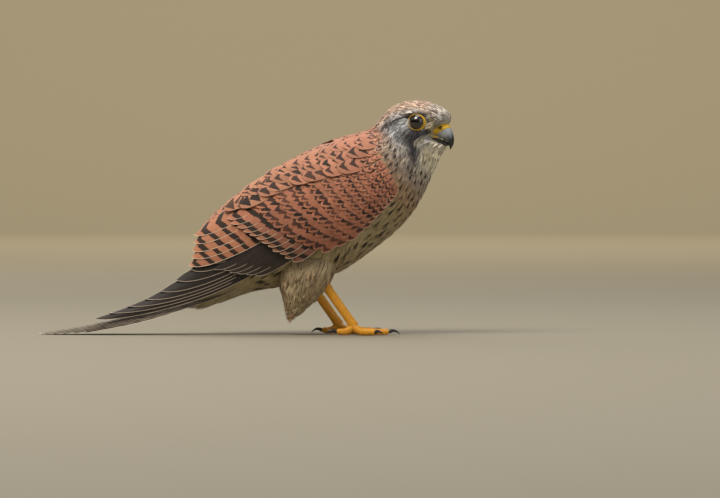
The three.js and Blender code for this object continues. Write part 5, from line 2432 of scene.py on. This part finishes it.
@dataclass
class Legs:
    """Thigh feathers, bare shanks, toes with scutes, and claws."""

    workshop: Workshop
    plumage: Plumage
    feet: tuple[tuple[str, float, float, float, float], ...] = (
        ("right", -1.0, 3, -15.5, 6.2),
        ("left", 1.0, -8, 14.5, 6.2),
    )
    heel: tuple[float, float, float] = (-22.5, 1.5, 32)
    # name, degrees from straight ahead to the outer side, length, pads, claw
    toes: tuple[tuple[str, float, float, int, float], ...] = (
        ("middle", 2, 26, 3, 9),
        ("inner", -28, 17, 2, 8),
        ("outer", 34, 19, 4, 8),
        ("hind", 172, 13, 1, 9.5),
    )
    rest: float = 2.1  # height of a toe's middle over the floor
    gap: float = 0.3
    scute: float = 1.5  # from one scute of a toe to the next
    shank_scute: float = 2.1
    curve: tuple[float, float] = (38.0, -64.0)  # heading of a claw at its base and its tip, in degrees
    thigh_colours: tuple[str, str] = ("#b4a380", "#9e7a58")
    thigh_rows: tuple[float, float] = (17.0, 55.0)  # lowest and highest root over the floor

    def shank(self, side: str, hand: float, foot: Array, skin: Material) -> Piece:
        """The shank, from inside the thigh feathers to the foot, with broad scutes in front.

        Args:
            side: The side's name.
            hand: -1 on the right side, 1 on the left.
            foot: Where the shank meets the toes.
            skin: The finish of bare skin.

        Returns:
            The piece.
        """
        top = foot + np.array([self.heel[0], -hand * self.heel[1], self.heel[2]])
        t = np.linspace(0.0, 1, 120)
        path = foot + (top - foot) * t[:, None]
        swell = 0.5 * (1 - smooth(0, 0.2, t)) + 0.7 * smooth(0.75, 1, t)
        angle = np.linspace(0, 2 * math.pi, 28, endpoint=False)
        length = float(np.linalg.norm(top - foot))
        steps = (t * length / self.shank_scute) % 1
        front = np.maximum(0, np.sin(angle)) ** 2
        scutes = 0.3 * np.outer(np.sin(math.pi * steps) ** 0.6, front)
        across = (2.3 + swell)[:, None] + scutes
        high = (3.1 + swell)[:, None] + scutes
        piece = self.workshop.piece("leg_" + side, loft(limb_rings(path, across, high, 28)), skin)
        self.workshop.attribute(piece, "reach", np.zeros(len(piece.data.vertices)))
        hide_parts("shank_" + side)
        return piece

    def toe_path(self, hand: float, foot: Array, degrees: float, length: float) -> tuple[Array, Array]:
        """The line of a toe from the foot's middle to its end, and its heading.

        Args:
            hand: -1 on the right side, 1 on the left.
            foot: Where the shank meets the toes.
            degrees: The toe's heading, from straight ahead to the outer side.
            length: Its length.

        Returns:
            The line's points and the heading.
        """
        heading = math.radians(degrees) * hand
        ahead = np.array([math.cos(heading), math.sin(heading), 0])
        r = np.linspace(0, length, int(length / self.scute * 6) + 1)
        fall = np.maximum(0, 1 - r / 8)
        z = self.rest + (foot[2] - self.rest) * fall**2
        return zipped(foot[0] + ahead[0] * r, foot[1] + ahead[1] * r, z), ahead

    def foot_piece(self, side: str, hand: float, foot: Array, skin: Material) -> Piece:
        """The foot: four toes with pads below and scutes above, joined at the ankle.

        Args:
            side: The side's name.
            hand: -1 on the right side, 1 on the left.
            foot: Where the shank meets the toes.
            skin: The finish of bare skin.

        Returns:
            The piece.
        """
        whole = bmesh.new()
        angle = np.linspace(0, 2 * math.pi, 20, endpoint=False)
        for _, degrees, length, pads, _ in self.toes:
            path, _ = self.toe_path(hand, foot, degrees, length)
            t = np.linspace(0, 1, len(path))
            pad = 0.34 * np.cos(2 * math.pi * pads * t + math.pi)
            width = mix(2.7, 1.85, t) * (1 - 0.45 * smooth(0.93, 1.0, t))
            saw = (t * length / self.scute) % 1
            above = np.maximum(0, np.sin(angle))
            scute = 0.36 * np.outer(np.sin(math.pi * saw) ** 0.5 * smooth(0.06, 0.2, t), above)
            under = np.outer(pad, np.maximum(0, -np.sin(angle)))
            across = width[:, None] + scute + 0.6 * under
            high = (width * 1.06)[:, None] + scute + under
            self.workshop.join(whole, loft(limb_rings(path, across, high, 20)))
        for vert in whole.verts:
            vert.co.z = max(vert.co.z, 0.02)
        piece = self.workshop.piece("toes_" + side, whole, skin)
        self.workshop.attribute(piece, "reach", np.zeros(len(piece.data.vertices)))
        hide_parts("foot_" + side)
        return piece

    def claw(self, side: str, toe: str, start: Array, ahead: Array, length: float, horn: Material) -> Piece:
        """A curved claw.

        Args:
            side: The side's name.
            toe: The toe's name.
            start: The toe's end.
            ahead: The toe's heading.
            length: The claw's length along its curve.
            horn: The finish of horn.

        Returns:
            The piece.
        """
        first, last = (math.radians(degrees) for degrees in self.curve)
        bend = length / (first - last)
        t = np.linspace(0, 1, 22)
        heading = mix(first, last, t)
        out = bend * (math.sin(first) - np.sin(heading)) + self.gap - 0.7
        rise = bend * (np.cos(heading) - math.cos(first))
        path = start + np.outer(out, ahead) + np.outer(rise, [0, 0, 1.0])
        thick = mix(1.5, 0.12, t**1.15)
        bm = loft(limb_rings(path, thick * 0.8, thick, 16))
        for vert in bm.verts:
            vert.co.z = max(vert.co.z, 0.02)
        piece = self.workshop.piece(f"talon_{side}_{toe}", bm, horn)
        local = self.workshop.points(piece)
        reach = np.linalg.norm(local - start, axis=1) / length
        self.workshop.attribute(piece, "reach", np.clip(reach, 0, 1))
        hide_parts(f"claw_{side}_{toe}")
        return piece

    def thigh(self, side: str, hand: float, finish: Material) -> Piece:
        """The long loose feathers of a thigh, which hang back in tiers.

        Args:
            side: The side's name.
            hand: -1 on the right side, 1 on the left.
            finish: The finish.

        Returns:
            The piece.
        """
        surface = ThighSide(hand)
        rng = np.random.default_rng(301)
        low, high = self.thigh_rows
        roots = scatter(
            surface,
            (low, 0),
            (high, 2 * math.pi),
            lambda p, q: 2.4 + 0 * p,
            lambda p, q, at: p > 0,
            5000,
            302,
        )
        count = len(roots)
        share = (roots[:, 0] - low) / (high - low)
        pale, warm = (linear(code) for code in self.thigh_colours)
        base = mix(pale, warm, (rng.random(count) * 0.8 * (1 - 0.4 * share))[:, None])
        tone = 1 + 0.12 * rng.standard_normal(count)
        plumes = Plumes(
            roots,
            marks=zipped(0.85 * (rng.random(count) < 0.45), 0.0, 0.55, rng.random(count)),
            length=mix(9, 17, share) * rng.uniform(0.8, 1.2, count),
            half=rng.uniform(1.8, 2.6, count),
            colour=base * np.clip(tone, 0.6, 1.4)[:, None],
            sunk=1.4,
            rise=rng.uniform(0.0, 1.5, count),
            heading=0.28 * rng.standard_normal(count),
            roll=0.15 * rng.standard_normal(count),
            camber=0.25,
        )
        vane = Vane(SOFT, rings=5, strands=5, thick=0.12, fray=0.4, spread=0.9)
        piece = self.plumage.grow("coat_thigh_" + side, surface, plumes, vane, seed=303)
        piece.data.materials.append(finish)
        return piece

    def build(self, looks: dict[str, Material], coat: Material) -> list[Piece]:
        """Makes the legs of both sides.

        Args:
            looks: The finishes by name.
            coat: The finish of the thigh's feathers.

        Returns:
            The pieces.
        """
        made = []
        for side, hand, *place in self.feet:
            foot = np.array(place, float)
            made.append(self.thigh(side, hand, coat))
            made.append(self.shank(side, hand, foot, looks["leg"]))
            made.append(self.foot_piece(side, hand, foot, looks["leg"]))
            for toe, degrees, length, _, claw in self.toes:
                path, ahead = self.toe_path(hand, foot, degrees, length)
                made.append(self.claw(side, toe, path[-1], ahead, claw, looks["claw"]))
        return made


# Studio


@dataclass(frozen=True)
class Light:
    """A square soft light of the studio.

    Args:
        name: Its name.
        place: Where it hangs, in metres.
        size: Its edge in metres.
        watts: Its power.
        colour: Its colour.
        aim: What it faces: the bird, unless another place is given.
    """

    name: str
    place: tuple[float, float, float]
    size: float
    watts: float
    colour: str
    aim: tuple[float, float, float] = (0, 0, 0.09)

    def hang(self) -> None:
        """Adds the light to the scene."""
        data = bpy.data.lights.new(self.name, "AREA")
        data.size, data.energy = self.size, self.watts
        data.color = linear(self.colour).tolist()
        made = bpy.data.objects.new(self.name, data)
        made.location = self.place
        made.rotation_euler = (Vector(self.aim) - Vector(self.place)).to_track_quat("-Z", "Y").to_euler()
        bpy.context.scene.collection.objects.link(made)


@dataclass
class Studio:
    """Camera, lights and a pale floor that rises far away on every side, in metres."""

    width_shown: float = 0.529  # of the bird's plane across the picture
    middle: tuple[float, float] = (0.0834, 0.0625)  # x and z at the picture's middle
    distance: float = 3.0
    height: float = 0.115
    sensor: float = 36.0
    radius: float = 5.5  # of the floor's flat part
    bend: float = 1.5
    wall: float = 3.5
    drop: float = 0.0003  # how far the floor lies under the toes
    sky: str = "#f1efe9"
    sky_strength: float = 0.4
    lights: tuple[Light, ...] = (
        Light("key", (-0.8, -1.0, 2.1), 1.2, 47, "#fff6ea"),
        Light("fill", (1.7, -1.6, 0.9), 1.8, 9, "#eef3ff"),
        Light("top", (0.2, 0.4, 2.2), 1.4, 26, "#ffffff"),
        Light("back", (-1.2, 1.8, 1.2), 1.4, 8, "#fff4e6"),
        Light("wall", (0.0, 3.2, 3.9), 3.0, 270, "#fff0d4", (0.0, 7.0, 1.6)),
    )

    def camera(self) -> None:
        """Looks along +Y from the bird's right side."""
        data = bpy.data.cameras.new("camera")
        data.sensor_width = self.sensor
        data.lens = self.sensor * self.distance / self.width_shown
        data.clip_start, data.clip_end = 0.05, 60
        made = bpy.data.objects.new("camera", data)
        aim = Vector((self.middle[0], 0, self.middle[1]))
        made.location = (self.middle[0], -self.distance, self.height)
        made.rotation_euler = (aim - made.location).to_track_quat("-Z", "Y").to_euler()
        bpy.context.scene.collection.objects.link(made)
        bpy.context.scene.camera = made

    def floor(self) -> None:
        """A floor disc whose far rim curves up, spun from one profile."""
        bm = bmesh.new()
        angles = np.linspace(0, math.pi / 2, 9)[1:]
        rim = [(self.radius + self.bend * math.sin(a), self.bend * (1 - math.cos(a))) for a in angles]
        profile = [(0.0, 0.0), (1.0, 0.0), (self.radius, 0.0), *rim, (self.radius + self.bend, self.wall)]
        verts = [bm.verts.new((x, 0, z - self.drop)) for x, z in profile]
        edges = [bm.edges.new(pair) for pair in zip(verts[:-1], verts[1:])]
        centre, upright = (0, 0, 0), (0, 0, 1)
        bmesh.ops.spin(
            bm, geom=verts + edges, cent=centre, axis=upright, angle=2 * math.pi, steps=64, use_merge=True
        )
        bmesh.ops.remove_doubles(bm, verts=bm.verts[:], dist=0.0001)
        bmesh.ops.recalc_face_normals(bm, faces=bm.faces[:])
        mesh = bpy.data.meshes.new("studio_floor")
        bm.to_mesh(mesh)
        bm.free()
        mesh.shade_smooth()
        mesh.materials.append(StudioFinish().make())
        made = bpy.data.objects.new("studio_floor", mesh)
        bpy.context.scene.collection.objects.link(made)

    def world(self) -> None:
        """Even pale light from all round."""
        world = bpy.data.worlds.new("studio")
        bpy.context.scene.world = world
        world.use_nodes = True
        world.node_tree.nodes.clear()
        light = add_node(
            world.node_tree, "Background", {"Color": rgba(self.sky), "Strength": self.sky_strength}
        )
        add_node(world.node_tree, "OutputWorld", {"Surface": light})
        bpy.context.scene.view_settings.view_transform = "Standard"

    def build(self) -> None:
        """Sets up the studio."""
        self.camera()
        self.floor()
        self.world()
        for light in self.lights:
            light.hang()


def feather_finishes() -> dict[str, Material]:
    """The materials of the feathers, by name.

    Returns:
        The finishes.
    """
    made = {
        # short loose barbs that catch light from all sides, so they look dull and soft
        "streaked": FeatherFinish("streaked_down", Mark.STREAK, "#4a3b34", roughness=0.85),
        "dropped": FeatherFinish("drop_streaked_breast", Mark.DROP, "#1f1714", roughness=0.8),
        # closed vanes with a red-brown pigment: matt, with crisp black marks
        "spotted": FeatherFinish("spotted_rufous_vane", Mark.ARROW, "#2b201d", fringe_width=0.55, pitch=7.8),
        "barred": FeatherFinish(
            "barred_rufous_vane", Mark.BARS, "#32261f", fringe_width=0.6, pitch=10.8, duty=0.4
        ),
        # stiff vanes full of black pigment: smoother, with a faint gloss
        "flight": FeatherFinish(
            "dark_flight_vane", Mark.NONE, fringe="#b5a592", fringe_width=0.6, roughness=0.55
        ),
        "tail": FeatherFinish(
            "barred_tail_vane", Mark.BARS, "#2f2823", pitch=11.0, duty=0.42, roughness=0.62
        ),
    }
    return {name: finish.make() for name, finish in made.items()}


def bare_finishes() -> dict[str, Material]:
    """The materials of eyes, bill, bare skin and claws, by name.

    Returns:
        The finishes.
    """
    made = {
        "eye": EyeFinish(),
        # grown keratin, worn smooth: a soft highlight over grey that darkens to a black hook
        "bill": HornFinish("blue_grey_bill_horn", "#a3a9ac", "#1c191b", 0.16),
        "mandible": HornFinish("olive_mandible_horn", "#4f4a35", "#211f1a", 0.2),
        "claw": HornFinish("black_claw_horn", "#2a292c", "#131214", 0.2, 0.3),
        # waxy skin: even and bright on the cere, with pale scutes and painted shade in the furrows on the
        # legs
        "cere": BareSkinFinish("yellow_cere_skin", "#f0c01c", "#1d1710", 0.9, 0.05, 0.36, 0.07),
        "leg": BareSkinFinish("orange_leg_scales", "#ffb524", "#ad610e", 1.3, 0.25, 0.42, 0.5),
    }
    return {name: finish.make() for name, finish in made.items()}


def find_shift(body: Body, eye: Eye) -> Array:
    """From the bird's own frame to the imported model's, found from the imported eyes, in millimetres.

    Args:
        body: The bird's body.
        eye: Its eye.

    Returns:
        The way in millimetres.
    """
    offsets = []
    for side, hand in SIDES.items():
        low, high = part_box("eye_" + side)
        packed = (np.array(low) + np.array(high)) / 2 / MM
        offsets.append(packed - body.turned(np.array([eye.x, hand * eye.y, eye.z])))
    return np.mean(offsets, 0)


def main() -> None:
    """Builds the bird and its studio."""
    logging.basicConfig(level=logging.INFO, format="%(message)s")
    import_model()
    Studio().build()
    body, eye = Body(), Eye()
    shift = find_shift(body, eye)
    log.info("shift %s", shift)
    workshop, plumage = Workshop(shift), Plumage(shift)
    feathers, looks = feather_finishes(), bare_finishes()
    pieces = Coat(body, WingSide(-1.0), eye, plumage).build(feathers)
    pieces += Wings(plumage).build(feathers)
    pieces += Tail(plumage).build(feathers)
    pieces += Legs(workshop, plumage).build(looks, feathers["streaked"])
    pieces += Face(body, eye, workshop).build(looks)
    pieces.append(Skin(body, plumage, workshop).build(SkinFinish().make()))
    for piece in pieces:
        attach(piece, "root")
    log.info("%d pieces", len(pieces))


if __name__ == "__main__":
    main()
